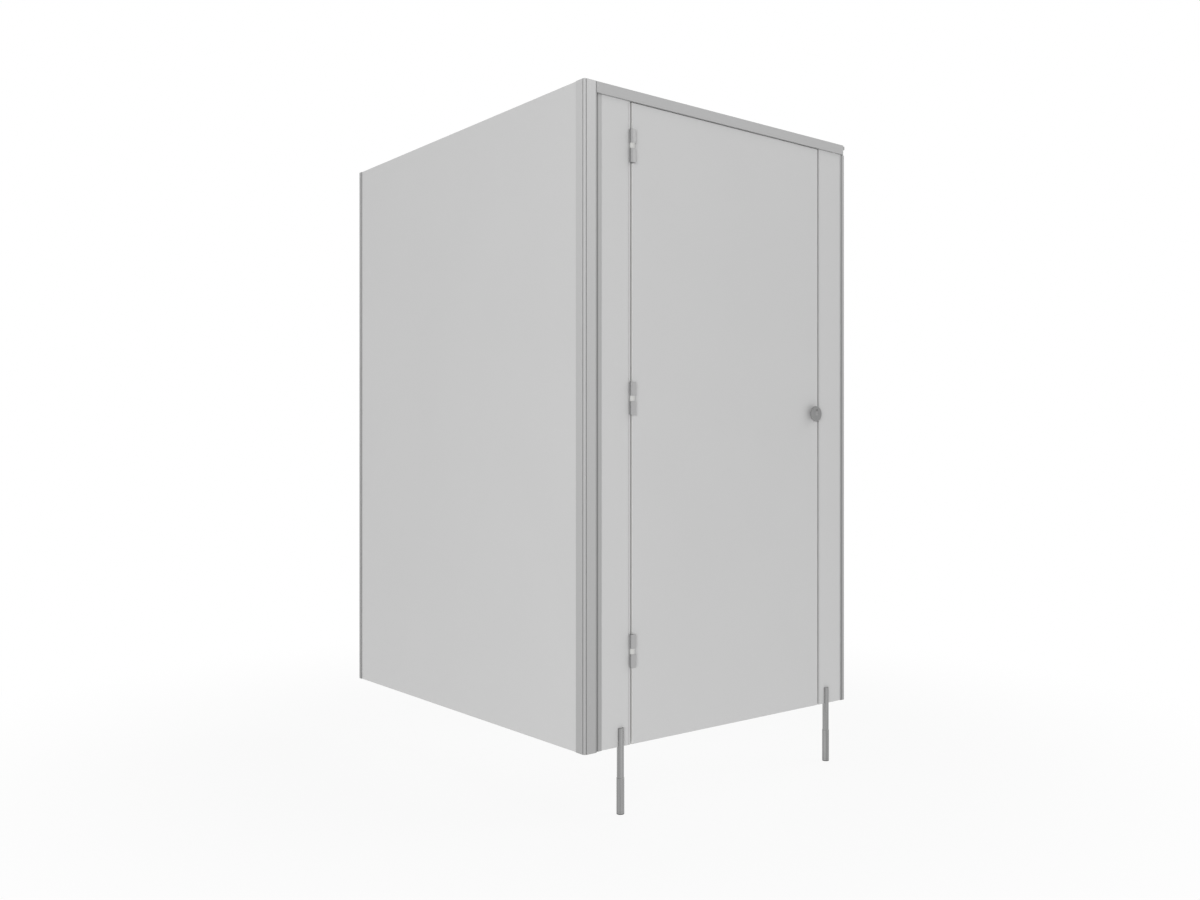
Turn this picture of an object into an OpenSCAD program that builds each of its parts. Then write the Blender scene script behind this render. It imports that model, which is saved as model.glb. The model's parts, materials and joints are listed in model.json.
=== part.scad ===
// Corner toilet cubicle: one side wall and a front of two pilasters and a door, in aluminium profiles.
// X runs along the front, Y from the front towards the back wall, Z up. Sizes in millimetres.
// X = 0 is the outer face of the side wall and Y = 0 the front face of the door until the
// whole is centred on its footprint by placed().

/* [Overall] */
// Height of the top edge above the floor
overall_h = 2000; // [1900:5:2300]
// Height of the panels' bottom edge above the floor
floor_gap = 185; // [150:1:250]
// Depth from the door's front face to the back wall
cubicle_d = 1310; // [1000:5:1800]

/* [Panels] */
// Thickness of the laminate
panel_t = 13; // [12:0.5:14]
// Chamfer on the panels' edges
edge_chamfer = 0.8; // [0.3:0.1:1.5]
// Visible width of the left pilaster between its channel and its stop profile
left_face_w = 96.4; // [80:0.1:200]
// Visible width of the right pilaster between its stop profile and its channel
right_face_w = 99.1; // [80:0.1:200]
// Width of the door
door_w = 778.9; // [600:0.1:1000]
// Gap between the door and the stop profile on the hinge side
door_gap = 7.2; // [6.8:0.1:8]
// Gap between the door and the stop profile on the lock side
lock_gap = 5.7; // [5:0.1:8]
// Gap between the door's top edge and the rail
door_head_gap = 1; // [1:0.5:5]

/* [Channels] */
// Depth of the U-channel at the post along the panel
channel_d = 21; // [18:0.5:30]
// Depth of the U-channels at the walls along the panel
wall_channel_d = 17.5; // [17:0.5:30]
// Wall of the U-channels' lips
lip_t = 1.4; // [1.2:0.1:2]
// Thickness of the U-channels' web
web_t = 2; // [1.5:0.1:3]
// Width of the groove along a channel's outer lip
lip_groove_w = 4.5; // [3:0.5:5]
// Depth of the groove along a channel's outer lip
lip_groove_d = 0.6; // [0.3:0.1:0.6]
// Distance of the groove from the back of the post's channel
post_groove_u = 4.6; // [3:0.1:8]
// Distance of the groove from the back of the wall channels
wall_groove_u = 10; // [8:0.5:12]
// Clearance between a panel's face and a lip
slot_fit = 0.15; // [0.1:0.05:0.3]
// Space between a panel's end and the web, for the heads of the fixing screws
web_space = 6; // [4:0.5:8]
// Distance between the wall fixing holes
fix_pitch = 500; // [300:10:550]
// Number of wall fixing holes in a channel
fix_count = 4; // [2:1:4]
// Diameter of the wall fixing holes
fix_hole_d = 6.5; // [4:0.5:8]

/* [Corner post] */
// Width of the post along the front
post_w = 43.5; // [40:0.5:60]
// How far the post's front face stands in front of the door's face
post_proud = 8.5; // [8:0.5:12]
// Depth of the post's front chamber
post_nose_d = 16.5; // [16:0.5:24]
// Radius of the rounded outer corner
nose_r = 8; // [5:0.5:9]
// Wall of the post
post_wall = 2.5; // [2:0.1:3]
// Width of the two grooves beside the rounded corner
groove_w = 2.4; // [1:0.1:3]
// Depth of the two grooves
groove_d = 1.4; // [0.5:0.1:1.5]
// Width of the sloped band on the post's front edge
band_w = 5; // [3:0.5:7]
// How far the band slopes back over its width
band_drop = 2; // [0.5:0.1:2.5]
// Thickness of the plugs that close the post's ends
plug_h = 4; // [2:0.5:4]
// Clearance round the plugs
plug_fit = 0.15; // [0.1:0.05:0.3]

/* [Top rail] */
// Height of the rail
rail_h = 30; // [28:1:40]
// Depth of the rail from front to back
rail_d = 28; // [26:1:40]
// How far the rail's front face stands in front of the door's face
rail_proud = 7.5; // [6.5:0.5:8]
// Wall of the rail
rail_wall = 2; // [1.5:0.1:2.2]
// How far the pilasters reach up into the rail
rail_grip = 15; // [12:0.5:16]
// Distance between the rail's end and the right-hand wall
rail_end_gap = 11; // [8:0.5:15]
// Length of the rail connectors inside the rail
connector_len = 40; // [30:1:60]
// Clearance round the rail connectors
connector_fit = 0.2; // [0.1:0.05:0.3]
// Height of the wall plate of the right-hand connector
wall_plate_h = 26; // [25:0.5:27]
// Distance between the two wall holes of the right-hand connector
bracket_pitch = 9; // [8:0.5:10]
// Diameter of the wall holes of the right-hand connector
bracket_hole_d = 4.5; // [3:0.5:5]
// Wall of the cover strip that closes the rail's slot above the door
strip_t = 1.2; // [1:0.1:1.5]
// Height of the cover strip's legs
strip_leg_h = 11; // [8:0.5:11]
// Clearance of the cover strip in the slot
strip_fit = 0.1; // [0.1:0.05:0.2]

/* [Stop profiles] */
// Width of a stop profile on the pilaster's edge
stop_w = 7; // [6:0.1:8]
// Wall of the stop profiles
stop_wall = 1.6; // [1.4:0.1:2]
// Width of the flange behind the pilaster
flange_w = 21; // [20:0.5:22]
// Distance from the door's back face to the stop lip
stop_gap = 4.2; // [4:0.1:4.6]
// How far the stop lip reaches behind the door on the hinge side
stop_lap = 10; // [8:0.5:14]
// Width of the rubber seal
seal_w = 4; // [3:0.5:5]
// Gap between the seal and the closed door
seal_play = 0.3; // [0.2:0.1:0.5]

/* [Hinges] */
// Height of a hinge
hinge_h = 93; // [80:1:120]
// Height of the lowest hinge's centre above the door's bottom edge
hinge_low = 260; // [200:5:300]
// Distance of the top hinge's centre below the door's top edge
hinge_high = 122; // [110:1:300]
// Height of the sleeve between the two blocks of a hinge
sleeve_h = 15; // [12:1:20]
// Running gap above and below the sleeve
sleeve_play = 0.2; // [0.1:0.05:0.3]
// Radius of the knuckles
knuckle_r = 5.4; // [5:0.1:5.6]
// Gap between the knuckles and the stop profile's front face
knuckle_clear = 0.5; // [0.3:0.1:0.8]
// How far the hinge blocks lap over the door's front face
block_lap = 5.2; // [4:0.1:8]
// How far the block's front slopes back towards its edge
block_slope = 1.6; // [0.5:0.1:2.5]
// Diameter of the hinge pins
pin_d = 6; // [5:0.5:6]
// Radial running clearance on the hinge pins
pin_fit = 0.05; // [0.02:0.01:0.1]
// Thickness of the hinge leaves
leaf_t = 2.5; // [2:0.1:2.8]
// Width of the frame leaf's back plate behind the pilaster
frame_plate_w = 20; // [16:0.5:20]
// Width of the door leaf's back plate behind the door
door_plate_w = 31; // [24:0.5:40]

/* [Lock] */
// Height of the lock's axis above the floor
lock_z = 1119; // [900:1:1200]
// Distance of the lock's axis from the door's edge
lock_inset = 25.5; // [24:0.5:32]
// Diameter of the knob's head
knob_d = 49; // [44:0.5:52]
// How far the knob stands off the door
knob_proj = 20; // [18:0.5:26]
// Thickness of the knob's head, cap included
head_t = 9; // [8.8:0.1:10]
// Thickness of the knob's front cap
cap_t = 4.5; // [4.3:0.1:4.7]
// Radius of the rounding on the head's edges
head_round = 4; // [2:0.5:4]
// Diameter of the knob's neck
neck_d = 18; // [18:0.5:20]
// Diameter of the spindle
spindle_d = 6; // [5:0.5:6]
// Radial running clearance on the spindle
spindle_fit = 0.05; // [0.02:0.01:0.1]
// Diameter of the spindle's slotted front end
boss_d = 12; // [10:0.5:14]
// Diameter of the indicator disc
disc_d = 36; // [34:1:38]
// Thickness of the indicator disc
disc_t = 1.5; // [1:0.1:2]
// Distance of the indicator window from the axis
window_r = 11.5; // [11:0.5:13]
// Diameter of the indicator window
window_d = 6; // [4:0.5:6]
// Diameter of the rose on the inside
rose_d = 30; // [27:0.5:30]
// Thickness of the rose
rose_t = 3; // [2:0.5:3.5]
// Length of the latch bar from the axis to its tip
latch_len = 56; // [54:0.5:57]
// Height of the latch bar
latch_w = 12; // [10:0.5:14]
// Thickness of the latch bar
latch_t = 5; // [4:0.5:8]
// Running gap of the latch bar
latch_play = 0.3; // [0.3:0.1:0.5]
// Diameter of the inside turn's base
turn_d = 28; // [24:1:32]
// Clearance between the inside turn and the stop lip that it passes when the door opens
turn_pass = 2.5; // [2:0.1:4]
// How far the inside turn stands off the latch bar
turn_h = 20; // [16:0.5:30]

/* [Keep] */
// Width of the keep
keep_w = 17; // [14:0.5:17]
// Height of the keep's screw tab above and below the latch
keep_tab = 16; // [14:0.5:24]
// Thickness of the keep's ledge
keep_ledge_t = 4; // [3:0.5:6]

/* [Legs] */
// Diameter of the legs
leg_d = 20; // [18:0.5:20]
// Distance of a leg's axis behind the pilaster's front face
leg_axis_y = 1; // [0:0.5:2]
// Distance of a leg's axis from the pilaster's edge at the door
leg_inset = 27.8; // [27:0.1:40]
// Height over which a leg laps the pilaster
leg_lap = 52; // [45:1:70]
// Distance between a leg's two screws
leg_screw_pitch = 24; // [20:1:28]
// Height of the foot from the floor to the sleeve's top
foot_h = 100; // [90:1:110]
// Wall of the foot sleeve
sleeve_wall = 1; // [0.9:0.1:1.5]
// Radial clearance between leg and foot sleeve
sleeve_fit = 0.05; // [0.03:0.01:0.1]
// Diameter of the threaded spindle of the foot
foot_spindle_d = 10; // [8:1:12]
// Thickness of the foot's plate
foot_plate_t = 6; // [5:0.5:8]
// Thickness of the rubber sole
sole_t = 2; // [1.5:0.5:3]
// Travel of the foot up and down
foot_travel = 15; // [5:1:15]

/* [Screws] */
// Diameter of the screws in panels and profiles
screw_d = 4; // [3:0.5:4.5]
// Depth that the screws reach into a panel
screw_bite = 9; // [6:0.5:10]
// Diameter of the leg screws
leg_screw_d = 6; // [5:0.5:6]
// Radial clearance of a screw in its hole
screw_fit = 0.05; // [0.03:0.01:0.1]

/* [Hidden] */
$fn = 64;
cut = 1; // overshoot of a cut past a face

// Slots and channels
slot_w = panel_t + 2 * slot_fit;
lip_proud = lip_t + slot_fit;
channel_w = slot_w + 2 * lip_t;

// Stations along X
post_x0 = -lip_proud;
post_x1 = post_x0 + post_w;
left_x0 = post_x1 + channel_d;
left_x1 = left_x0 + left_face_w;
door_x0 = left_x1 + stop_w + door_gap;
door_x1 = door_x0 + door_w;
right_x0 = door_x1 + lock_gap + stop_w;
right_x1 = right_x0 + right_face_w;
wall_x = right_x1 + wall_channel_d;

// Stations along Y
post_y0 = -post_proud;
post_slot_y = post_y0 + post_nose_d;
flank_y1 = panel_t + lip_proud + web_t;
rail_y0 = -rail_proud;
rail_y1 = rail_y0 + rail_d;
back_lip_y = cubicle_d - wall_channel_d;

// Stations along Z
rail_z0 = overall_h - rail_h;
grip_z = rail_z0 + rail_grip;
door_z1 = rail_z0 - door_head_gap;
front_h = rail_z0 - floor_gap;
side_h = overall_h - floor_gap;
deck_z = grip_z + rail_wall;
chamber_top = overall_h - rail_wall;

// Footprint of the whole, to centre it
knob_y0 = -knob_proj;
centre_x = (post_x0 + wall_x) / 2;
centre_y = (knob_y0 + cubicle_d) / 2;

// Screws
screw_r = screw_d / 2;
socket_share = 0.35;
pan_r = 0.95 * screw_d;
pan_h = 0.55 * screw_d;
leg_pan_r = 0.83 * leg_screw_d;
leg_pan_h = 0.5 * leg_screw_d;
screw_past = 2;
screw_hole_past = 0.5;

// Rows of fixings
screw_margin = 120;
function row(z0, z1, count) = [for (i = [0 : count - 1])
    z0 + screw_margin + i * (z1 - z0 - 2 * screw_margin) / (count - 1)];
function fix_row(z0, z1) = [for (i = [0 : fix_count - 1])
    (z0 + z1) / 2 + (i - (fix_count - 1) / 2) * fix_pitch];
side_rows = row(floor_gap, overall_h, 4);
front_rows = row(floor_gap, rail_z0, 4);
left_bite_x = left_x0 - (channel_d - web_t - web_space) / 2;
right_bite_x = right_x1 + (wall_channel_d - web_t - web_space) / 2;
side_bite_y = back_lip_y + (wall_channel_d - web_t - web_space) / 2;
head_clear = 1;
post_bite_y = flank_y1 + pan_r + head_clear;
rail_screw_z = rail_z0 + rail_grip / 2;
rail_screw_x = [left_x0 + left_face_w / 3, left_x0 + 2 * left_face_w / 3,
    right_x0 + right_face_w / 3, right_x0 + 2 * right_face_w / 3];
connector_screw_y = [post_y0 + post_wall + pan_r + head_clear,
    flank_y1 - post_wall - pan_r - head_clear];
connector_drop = 2;
connector_z = (deck_z + chamber_top) / 2 - connector_drop;
bracket_margin = 7;
bracket_hole_z = chamber_top - wall_plate_h + bracket_margin;

// Stop profiles, one extrusion for both sides
stop_depth = panel_t + stop_wall;
lip_y = panel_t + stop_gap;
hinge_lip_reach = stop_w + door_gap + stop_lap;
lock_lip_reach = stop_w + lock_gap + lock_inset - turn_d / 2 - turn_pass;
seal_inset = 2;
notch_margin = 3;
stop_screw_x = flange_w / 2;

// Hinges
axis_past_stop = 0.7;
axis_x = left_x1 + stop_w + axis_past_stop;
axis_y = -knuckle_clear - knuckle_r;
hinge_z0 = floor_gap + hinge_low;
hinge_z2 = door_z1 - hinge_high;
hinge_zs = [hinge_z0, (hinge_z0 + hinge_z2) / 2, hinge_z2];
stop_zs = [(floor_gap + hinge_zs[0]) / 2, (hinge_zs[0] + hinge_zs[1]) / 2,
    (hinge_zs[1] + hinge_zs[2]) / 2, (hinge_zs[2] + rail_z0) / 2];
block_h = (hinge_h - sleeve_h) / 2;
pin_r = pin_d / 2;
door_corner_r = norm([door_x0 - axis_x, axis_y]);
corner_clear = 0.45;
sleeve_reach = door_corner_r - corner_clear;
barrel_wall = 1.2;
barrel_r = pin_r + barrel_wall;
barrel_fit = 0.1;
pin_short = 1;
leaf_edge_gap = 0.2;
frame_tongue_x = left_x1 + stop_w + leaf_edge_gap;
door_tongue_x = door_x0 - leaf_edge_gap - leaf_t;
hinge_screw_margin = 14;
hinge_screw_dz = hinge_h / 2 - hinge_screw_margin;

// Lock
lock_x = door_x1 - lock_inset;
head_y1 = knob_y0 + head_t;
cap_y1 = knob_y0 + cap_t;
disc_play = 0.2;
disc_y0 = cap_y1 - disc_t - disc_play;
spindle_r = spindle_d / 2;
boss_r = boss_d / 2;
neck_l = knob_proj - head_t;
rim_flat = 0.2;
rim_r = min(head_round, cap_t - rim_flat, head_t - cap_t - rim_flat);
lock_screw_inset = 2.4;
lock_screw_r = neck_d / 2 - lock_screw_inset;
lock_screw_bite = 7;
lock_screw_d = 3;
lock_pan_r = 2.4;
lock_pan_h = 1.5;
lock_pan_fit = 0.2;
rose_y1 = panel_t + rose_t;
collar_wall = 0.9;
collar_r = lock_screw_r + lock_pan_r + lock_pan_fit + collar_wall;
collar_proud = 0.5;
collar_y1 = lip_y + stop_wall + collar_proud;
latch_y0 = collar_y1 + latch_play;
latch_y1 = latch_y0 + latch_t;
turn_y1 = latch_y1 + turn_h;
turn_base_t = 5;
turn_blade_t = 8;
turn_blade_inset = 2;
turn_hub_wall = 2;
turn_cap_t = 2;
spindle_hole_play = 1;
slot_t = 2;
slot_depth = 1.5;

// Keep
keep_inset = 2;
keep_x0 = right_x0 + keep_inset;
keep_y0 = stop_depth;
keep_base_t = 2.4;
keep_pad_y1 = latch_y0 - latch_play;
keep_gap = 0.4;
keep_margin = 6;
keep_pad_over = 2;
keep_ledge_over = 1;

// Legs
leg_r = leg_d / 2;
leg_xs = [left_x1 - leg_inset, right_x0 + leg_inset];
foot_r = leg_r + sleeve_fit + sleeve_wall;
plate_z1 = sole_t + foot_plate_t;
leg_base_gap = 17;
leg_z0 = plate_z1 + foot_travel + leg_base_gap;
foot_bore_z1 = foot_h + foot_travel;
spindle_drop = 5;
foot_spindle_z1 = foot_h - spindle_drop;
leg_screw_zs = [for (i = [-1, 1]) floor_gap + leg_lap / 2 + i * leg_screw_pitch / 2];
leg_skin = 2.5;
leg_screw_bite = leg_r - leg_axis_y - leg_skin;
sole_inset = 0.5;

// Centres the whole on its footprint
module placed() {
    translate([-centre_x, -centre_y, 0]) children();
}

// Turns +Z towards the named direction
module facing_x() { rotate([0, 90, 0]) children(); }
module facing_minus_x() { rotate([0, -90, 0]) children(); }
module facing_minus_y() { rotate([90, 0, 0]) children(); }

// Extrudes a (Y, Z) section along X
module along_x(length) { rotate([90, 0, 90]) linear_extrude(length) children(); }

// Round-headed screw: seat at the origin, shank towards +Z, hexagon socket in the head
module screw(shank_d, length, head_r, head_h) {
    cylinder(d = shank_d, h = length);
    difference() {
        translate([0, 0, -head_h]) cylinder(r = head_r, h = head_h);
        translate([0, 0, -head_h - cut])
            cylinder(r = socket_share * shank_d, h = head_h / 2 + cut, $fn = 6);
    }
}
module panel_screw(length) { screw(screw_d, length, pan_r, pan_h); }
module screw_hole(shank_d, length) {
    translate([0, 0, -cut])
        cylinder(r = shank_d / 2 + screw_fit, h = length + cut + screw_hole_past);
}

// Rectangle with chamfered corners
module chamfered(w, h) {
    c = edge_chamfer;
    polygon([[c, 0], [w - c, 0], [w, c], [w, h - c], [w - c, h], [c, h], [0, h - c], [0, c]]);
}

// Laminate panel: w along X, panel_t along Y, h along Z
module panel(w, h) {
    intersection() {
        linear_extrude(h) chamfered(w, panel_t);
        along_x(w) chamfered(panel_t, h);
    }
}

// U-channel section: web on the left, lips towards +X, centred on Y = panel_t / 2, groove in the outer lip
module channel_section(depth, groove_u) {
    translate([0, panel_t / 2]) difference() {
        translate([0, -channel_w / 2]) square([depth, channel_w]);
        translate([web_t, -slot_w / 2]) square([depth, slot_w]);
        translate([groove_u, -channel_w / 2 - cut]) square([lip_groove_w, lip_groove_d + cut]);
    }
}

/* Panels */

module side_panel() {
    y1 = cubicle_d - web_t - web_space;
    color("#C6C6C6") placed() difference() {
        translate([panel_t, post_slot_y, floor_gap]) rotate([0, 0, 90])
            panel(y1 - post_slot_y, side_h);
        for (z = side_rows) {
            translate([panel_t, post_bite_y, z]) facing_minus_x() screw_hole(screw_d, screw_bite);
            translate([panel_t, side_bite_y, z]) facing_minus_x() screw_hole(screw_d, screw_bite);
        }
    }
}

// Holes in the back of a pilaster: channel side at bite_x, stop side at stop_x, leg at leg_x
module pilaster_holes(bite_x, stop_x, leg_x) {
    for (z = front_rows)
        translate([bite_x, panel_t, z]) facing_minus_y() screw_hole(screw_d, screw_bite);
    for (z = stop_zs)
        translate([stop_x, panel_t, z]) facing_minus_y() screw_hole(screw_d, screw_bite);
    for (x = rail_screw_x)
        translate([x, panel_t, rail_screw_z]) facing_minus_y() screw_hole(screw_d, screw_bite);
    for (z = leg_screw_zs)
        translate([leg_x, panel_t + cut, z]) facing_minus_y() screw_hole(leg_screw_d, panel_t + 2 * cut);
}

module left_pilaster() {
    x0 = post_x1 + web_t + web_space;
    color("#C6C6C6") placed() difference() {
        translate([x0, 0, floor_gap]) panel(left_x1 - x0, grip_z - floor_gap);
        pilaster_holes(left_bite_x, left_x1 - stop_screw_x, leg_xs[0]);
        for (z = hinge_zs, dz = [-1, 1])
            translate([left_x1 - stop_screw_x, panel_t, z + dz * hinge_screw_dz])
                facing_minus_y() screw_hole(screw_d, screw_bite);
    }
}

module right_pilaster() {
    x1 = wall_x - web_t - web_space;
    color("#C6C6C6") placed() difference() {
        translate([right_x0, 0, floor_gap]) panel(x1 - right_x0, grip_z - floor_gap);
        pilaster_holes(right_bite_x, right_x0 + stop_screw_x, leg_xs[1]);
        for (dz = [-1, 1])
            translate([keep_x0 + keep_w / 2, panel_t, lock_z + dz * keep_tab])
                facing_minus_y() screw_hole(screw_d, screw_bite);
    }
}

module door_panel() {
    color("#C6C6C6") placed() difference() {
        translate([door_x0, 0, floor_gap]) panel(door_w, door_z1 - floor_gap);
        translate([lock_x, panel_t + cut, lock_z]) facing_minus_y()
            cylinder(r = spindle_r + spindle_hole_play, h = panel_t + 2 * cut);
        for (dx = [-1, 1])
            translate([lock_x + dx * lock_screw_r, panel_t + cut, lock_z]) facing_minus_y()
                cylinder(r = lock_screw_d / 2 + screw_fit, h = panel_t + 2 * cut);
        for (z = hinge_zs, dz = [-1, 1])
            translate([door_x0 + door_plate_w / 2, panel_t, z + dz * hinge_screw_dz])
                facing_minus_y() screw_hole(screw_d, screw_bite);
    }
}

/* Corner post */

// Chamber of the post, drawn in by inset on every side
module post_chamber(inset) {
    wall = post_wall + inset;
    r = nose_r - wall;
    x0 = post_x0 + wall;
    y0 = post_y0 + wall;
    x1 = post_x1 - wall;
    step_x = panel_t + slot_fit + wall;
    translate([x0, y0 + r]) square([x1 - x0, post_slot_y - wall - y0 - r]);
    translate([x0 + r, y0]) square([x1 - x0 - r, r + cut]);
    translate([x0 + r, y0 + r]) circle(r = r);
    translate([step_x, y0 + r]) square([x1 - step_x, flank_y1 - wall - y0 - r]);
}

module post_section() {
    difference() {
        union() {
            translate([post_x0, post_y0 + nose_r])
                square([post_w, flank_y1 - post_y0 - nose_r]);
            translate([post_x0 + nose_r, post_y0]) square([post_w - nose_r, nose_r + cut]);
            translate([post_x0 + nose_r, post_y0 + nose_r]) circle(r = nose_r);
            translate([post_x0, post_slot_y - cut])
                square([lip_proud + panel_t + slot_fit + post_wall, channel_d + cut]);
        }
        translate([-slot_fit, post_slot_y]) square([slot_w, channel_d + cut]);
        post_chamber(0);
        translate([post_x0 - cut, post_y0 + nose_r - groove_w]) square([groove_d + cut, groove_w]);
        translate([post_x0 + nose_r - groove_w, post_y0 - cut]) square([groove_w, groove_d + cut]);
        polygon([[post_x1 - band_w, post_y0], [post_x1, post_y0 + band_drop],
            [post_x1 + cut, post_y0 + band_drop], [post_x1 + cut, post_y0 - cut],
            [post_x1 - band_w, post_y0 - cut]]);
    }
}

module corner_post() {
    color("#B4B4B4") placed() difference() {
        translate([0, 0, floor_gap]) linear_extrude(side_h) post_section();
        for (z = side_rows)
            translate([panel_t + slot_fit + post_wall, post_bite_y, z]) facing_minus_x()
                screw_hole(screw_d, post_wall + slot_fit);
        for (z = front_rows)
            translate([post_x1, panel_t / 2, z]) facing_minus_x() screw_hole(screw_d, post_wall);
        for (y = connector_screw_y)
            translate([post_x1, y, connector_z]) facing_minus_x() screw_hole(screw_d, post_wall);
    }
}

module post_top_plug() {
    color("#9A9A9A") placed() translate([0, 0, overall_h - plug_h])
        linear_extrude(plug_h) post_chamber(plug_fit);
}
module post_bottom_plug() {
    color("#9A9A9A") placed() translate([0, 0, floor_gap])
        linear_extrude(plug_h) post_chamber(plug_fit);
}

/* Channels */

module back_wall_channel() {
    color("#AFAFAF") placed() difference() {
        translate([0, cubicle_d, floor_gap]) rotate([0, 0, -90])
            linear_extrude(side_h) channel_section(wall_channel_d, wall_groove_u);
        for (z = fix_row(floor_gap, overall_h))
            translate([panel_t / 2, cubicle_d + cut, z]) facing_minus_y()
                cylinder(d = fix_hole_d, h = web_t + 2 * cut);
        for (z = side_rows)
            translate([panel_t + lip_proud, side_bite_y, z]) facing_minus_x()
                screw_hole(screw_d, lip_proud);
    }
}

module left_pilaster_channel() {
    color("#AFAFAF") placed() difference() {
        translate([post_x1, 0, floor_gap])
            linear_extrude(front_h) channel_section(channel_d, post_groove_u);
        for (z = front_rows) {
            translate([post_x1 + web_t, panel_t / 2, z]) facing_minus_x() screw_hole(screw_d, web_t);
            translate([left_bite_x, panel_t + lip_proud, z]) facing_minus_y()
                screw_hole(screw_d, lip_proud);
        }
    }
}

module right_wall_channel() {
    color("#AFAFAF") placed() difference() {
        translate([wall_x, 0, floor_gap]) mirror([1, 0, 0])
            linear_extrude(front_h) channel_section(wall_channel_d, wall_groove_u);
        for (z = fix_row(floor_gap, rail_z0))
            translate([wall_x + cut, panel_t / 2, z]) facing_minus_x()
                cylinder(d = fix_hole_d, h = web_t + 2 * cut);
        for (z = front_rows)
            translate([right_bite_x, panel_t + lip_proud, z]) facing_minus_y()
                screw_hole(screw_d, lip_proud);
    }
}

/* Top rail */

// (Y, Z) section of the rail: slot below for the pilasters, one chamber each side and one above
module rail_section() {
    side_w = -rail_y0 - slot_fit - 2 * rail_wall;
    rear_y = panel_t + slot_fit + rail_wall;
    difference() {
        translate([rail_y0, rail_z0]) square([rail_d, rail_h]);
        translate([-slot_fit, rail_z0 - cut]) square([slot_w, rail_grip + cut]);
        translate([rail_y0 + rail_wall, rail_z0 + rail_wall])
            square([side_w, rail_grip - rail_wall]);
        translate([rear_y, rail_z0 + rail_wall])
            square([rail_y1 - rail_wall - rear_y, rail_grip - rail_wall]);
        translate([rail_y0 + rail_wall, deck_z])
            square([rail_d - 2 * rail_wall, chamber_top - deck_z]);
    }
}

module top_rail() {
    rear_depth = rail_y1 - panel_t;
    color("#B2B2B2") placed() difference() {
        translate([post_x1, 0, 0]) along_x(wall_x - rail_end_gap - post_x1) rail_section();
        for (x = rail_screw_x)
            translate([x, rail_y1, rail_screw_z]) facing_minus_y() screw_hole(screw_d, rear_depth);
    }
}

module rail_cover_strip() {
    y0 = -slot_fit + strip_fit;
    w = slot_w - 2 * strip_fit;
    x0 = left_x1 + strip_fit;
    color("#B2B2B2") placed() translate([x0, 0, 0])
        along_x(right_x0 - strip_fit - x0) {
            translate([y0, rail_z0]) square([w, strip_t]);
            translate([y0, rail_z0]) square([strip_t, strip_leg_h]);
            translate([y0 + w - strip_t, rail_z0]) square([strip_t, strip_leg_h]);
        }
}

// Connector body that fills the rail's upper chamber, from x0 over length
module connector_body(x0, length) {
    y0 = rail_y0 + rail_wall + connector_fit;
    w = rail_d - 2 * rail_wall - 2 * connector_fit;
    h = chamber_top - deck_z - 2 * connector_fit;
    translate([x0, y0, deck_z + connector_fit]) cube([length, w, h]);
}

module rail_post_connector() {
    color("#8C8C8C") placed() difference() {
        connector_body(post_x1, connector_len);
        for (y = connector_screw_y)
            translate([post_x1, y, connector_z]) facing_x() screw_hole(screw_d, screw_bite);
    }
}

module rail_wall_connector() {
    plate_y0 = rail_y0 + rail_d / 3;
    plate_w = rail_y1 - rail_wall - plate_y0;
    hole_y = plate_y0 + plate_w / 2;
    color("#8C8C8C") placed() difference() {
        union() {
            connector_body(wall_x - rail_end_gap - connector_len, connector_len + rail_end_gap - web_t);
            translate([wall_x - web_t, plate_y0, chamber_top - wall_plate_h])
                cube([web_t, plate_w, wall_plate_h]);
        }
        for (dy = [-1, 1])
            translate([wall_x + cut, hole_y + dy * bracket_pitch / 2, bracket_hole_z])
                facing_minus_x() cylinder(d = bracket_hole_d, h = web_t + 2 * cut);
    }
}

/* Stop profiles */

// Section of a stop profile: u = 0 at the pilaster's edge, towards the door
module stop_tube() {
    difference() {
        square([stop_w, stop_depth]);
        translate([stop_wall, stop_wall]) square([stop_w - 2 * stop_wall, panel_t - stop_wall]);
    }
    translate([-flange_w, panel_t]) square([flange_w + cut, stop_wall]);
}
module stop_lip(reach) {
    translate([stop_w - stop_wall, panel_t + stop_wall / 2])
        square([stop_wall, stop_gap + stop_wall / 2]);
    translate([stop_w - stop_wall, lip_y]) square([reach - stop_w + stop_wall, stop_wall]);
}
module stop_seal(reach) {
    translate([reach - seal_w - seal_inset, panel_t + seal_play]) square([seal_w, stop_gap - seal_play]);
}

// Space round each hinge in which the lip and the seal are cut away
module hinge_notches(y0) {
    for (z = hinge_zs)
        translate([-flange_w - cut, y0, z - hinge_h / 2 - notch_margin])
            cube([flange_w + hinge_lip_reach + 2 * cut, 2 * panel_t, hinge_h + 2 * notch_margin]);
}

module hinge_side_stop() {
    color("#B7B7B7") placed() translate([left_x1, 0, 0]) difference() {
        union() {
            translate([0, 0, floor_gap]) linear_extrude(front_h) stop_tube();
            difference() {
                translate([0, 0, floor_gap]) linear_extrude(front_h) stop_lip(hinge_lip_reach);
                hinge_notches(stop_depth);
            }
        }
        for (z = stop_zs)
            translate([-stop_screw_x, stop_depth, z]) facing_minus_y() screw_hole(screw_d, stop_wall);
        for (z = hinge_zs, dz = [-1, 1])
            translate([-stop_screw_x, stop_depth, z + dz * hinge_screw_dz])
                facing_minus_y() screw_hole(screw_d, stop_wall);
    }
}

module lock_side_stop() {
    color("#B7B7B7") placed() translate([right_x0, 0, 0]) mirror([1, 0, 0]) difference() {
        translate([0, 0, floor_gap]) linear_extrude(front_h) {
            stop_tube();
            stop_lip(lock_lip_reach);
        }
        for (z = stop_zs)
            translate([-stop_screw_x, stop_depth, z]) facing_minus_y() screw_hole(screw_d, stop_wall);
        for (dz = [-1, 1])
            translate([right_x0 - keep_x0 - keep_w / 2, stop_depth, lock_z + dz * keep_tab])
                facing_minus_y() screw_hole(screw_d, stop_wall);
    }
}

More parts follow.
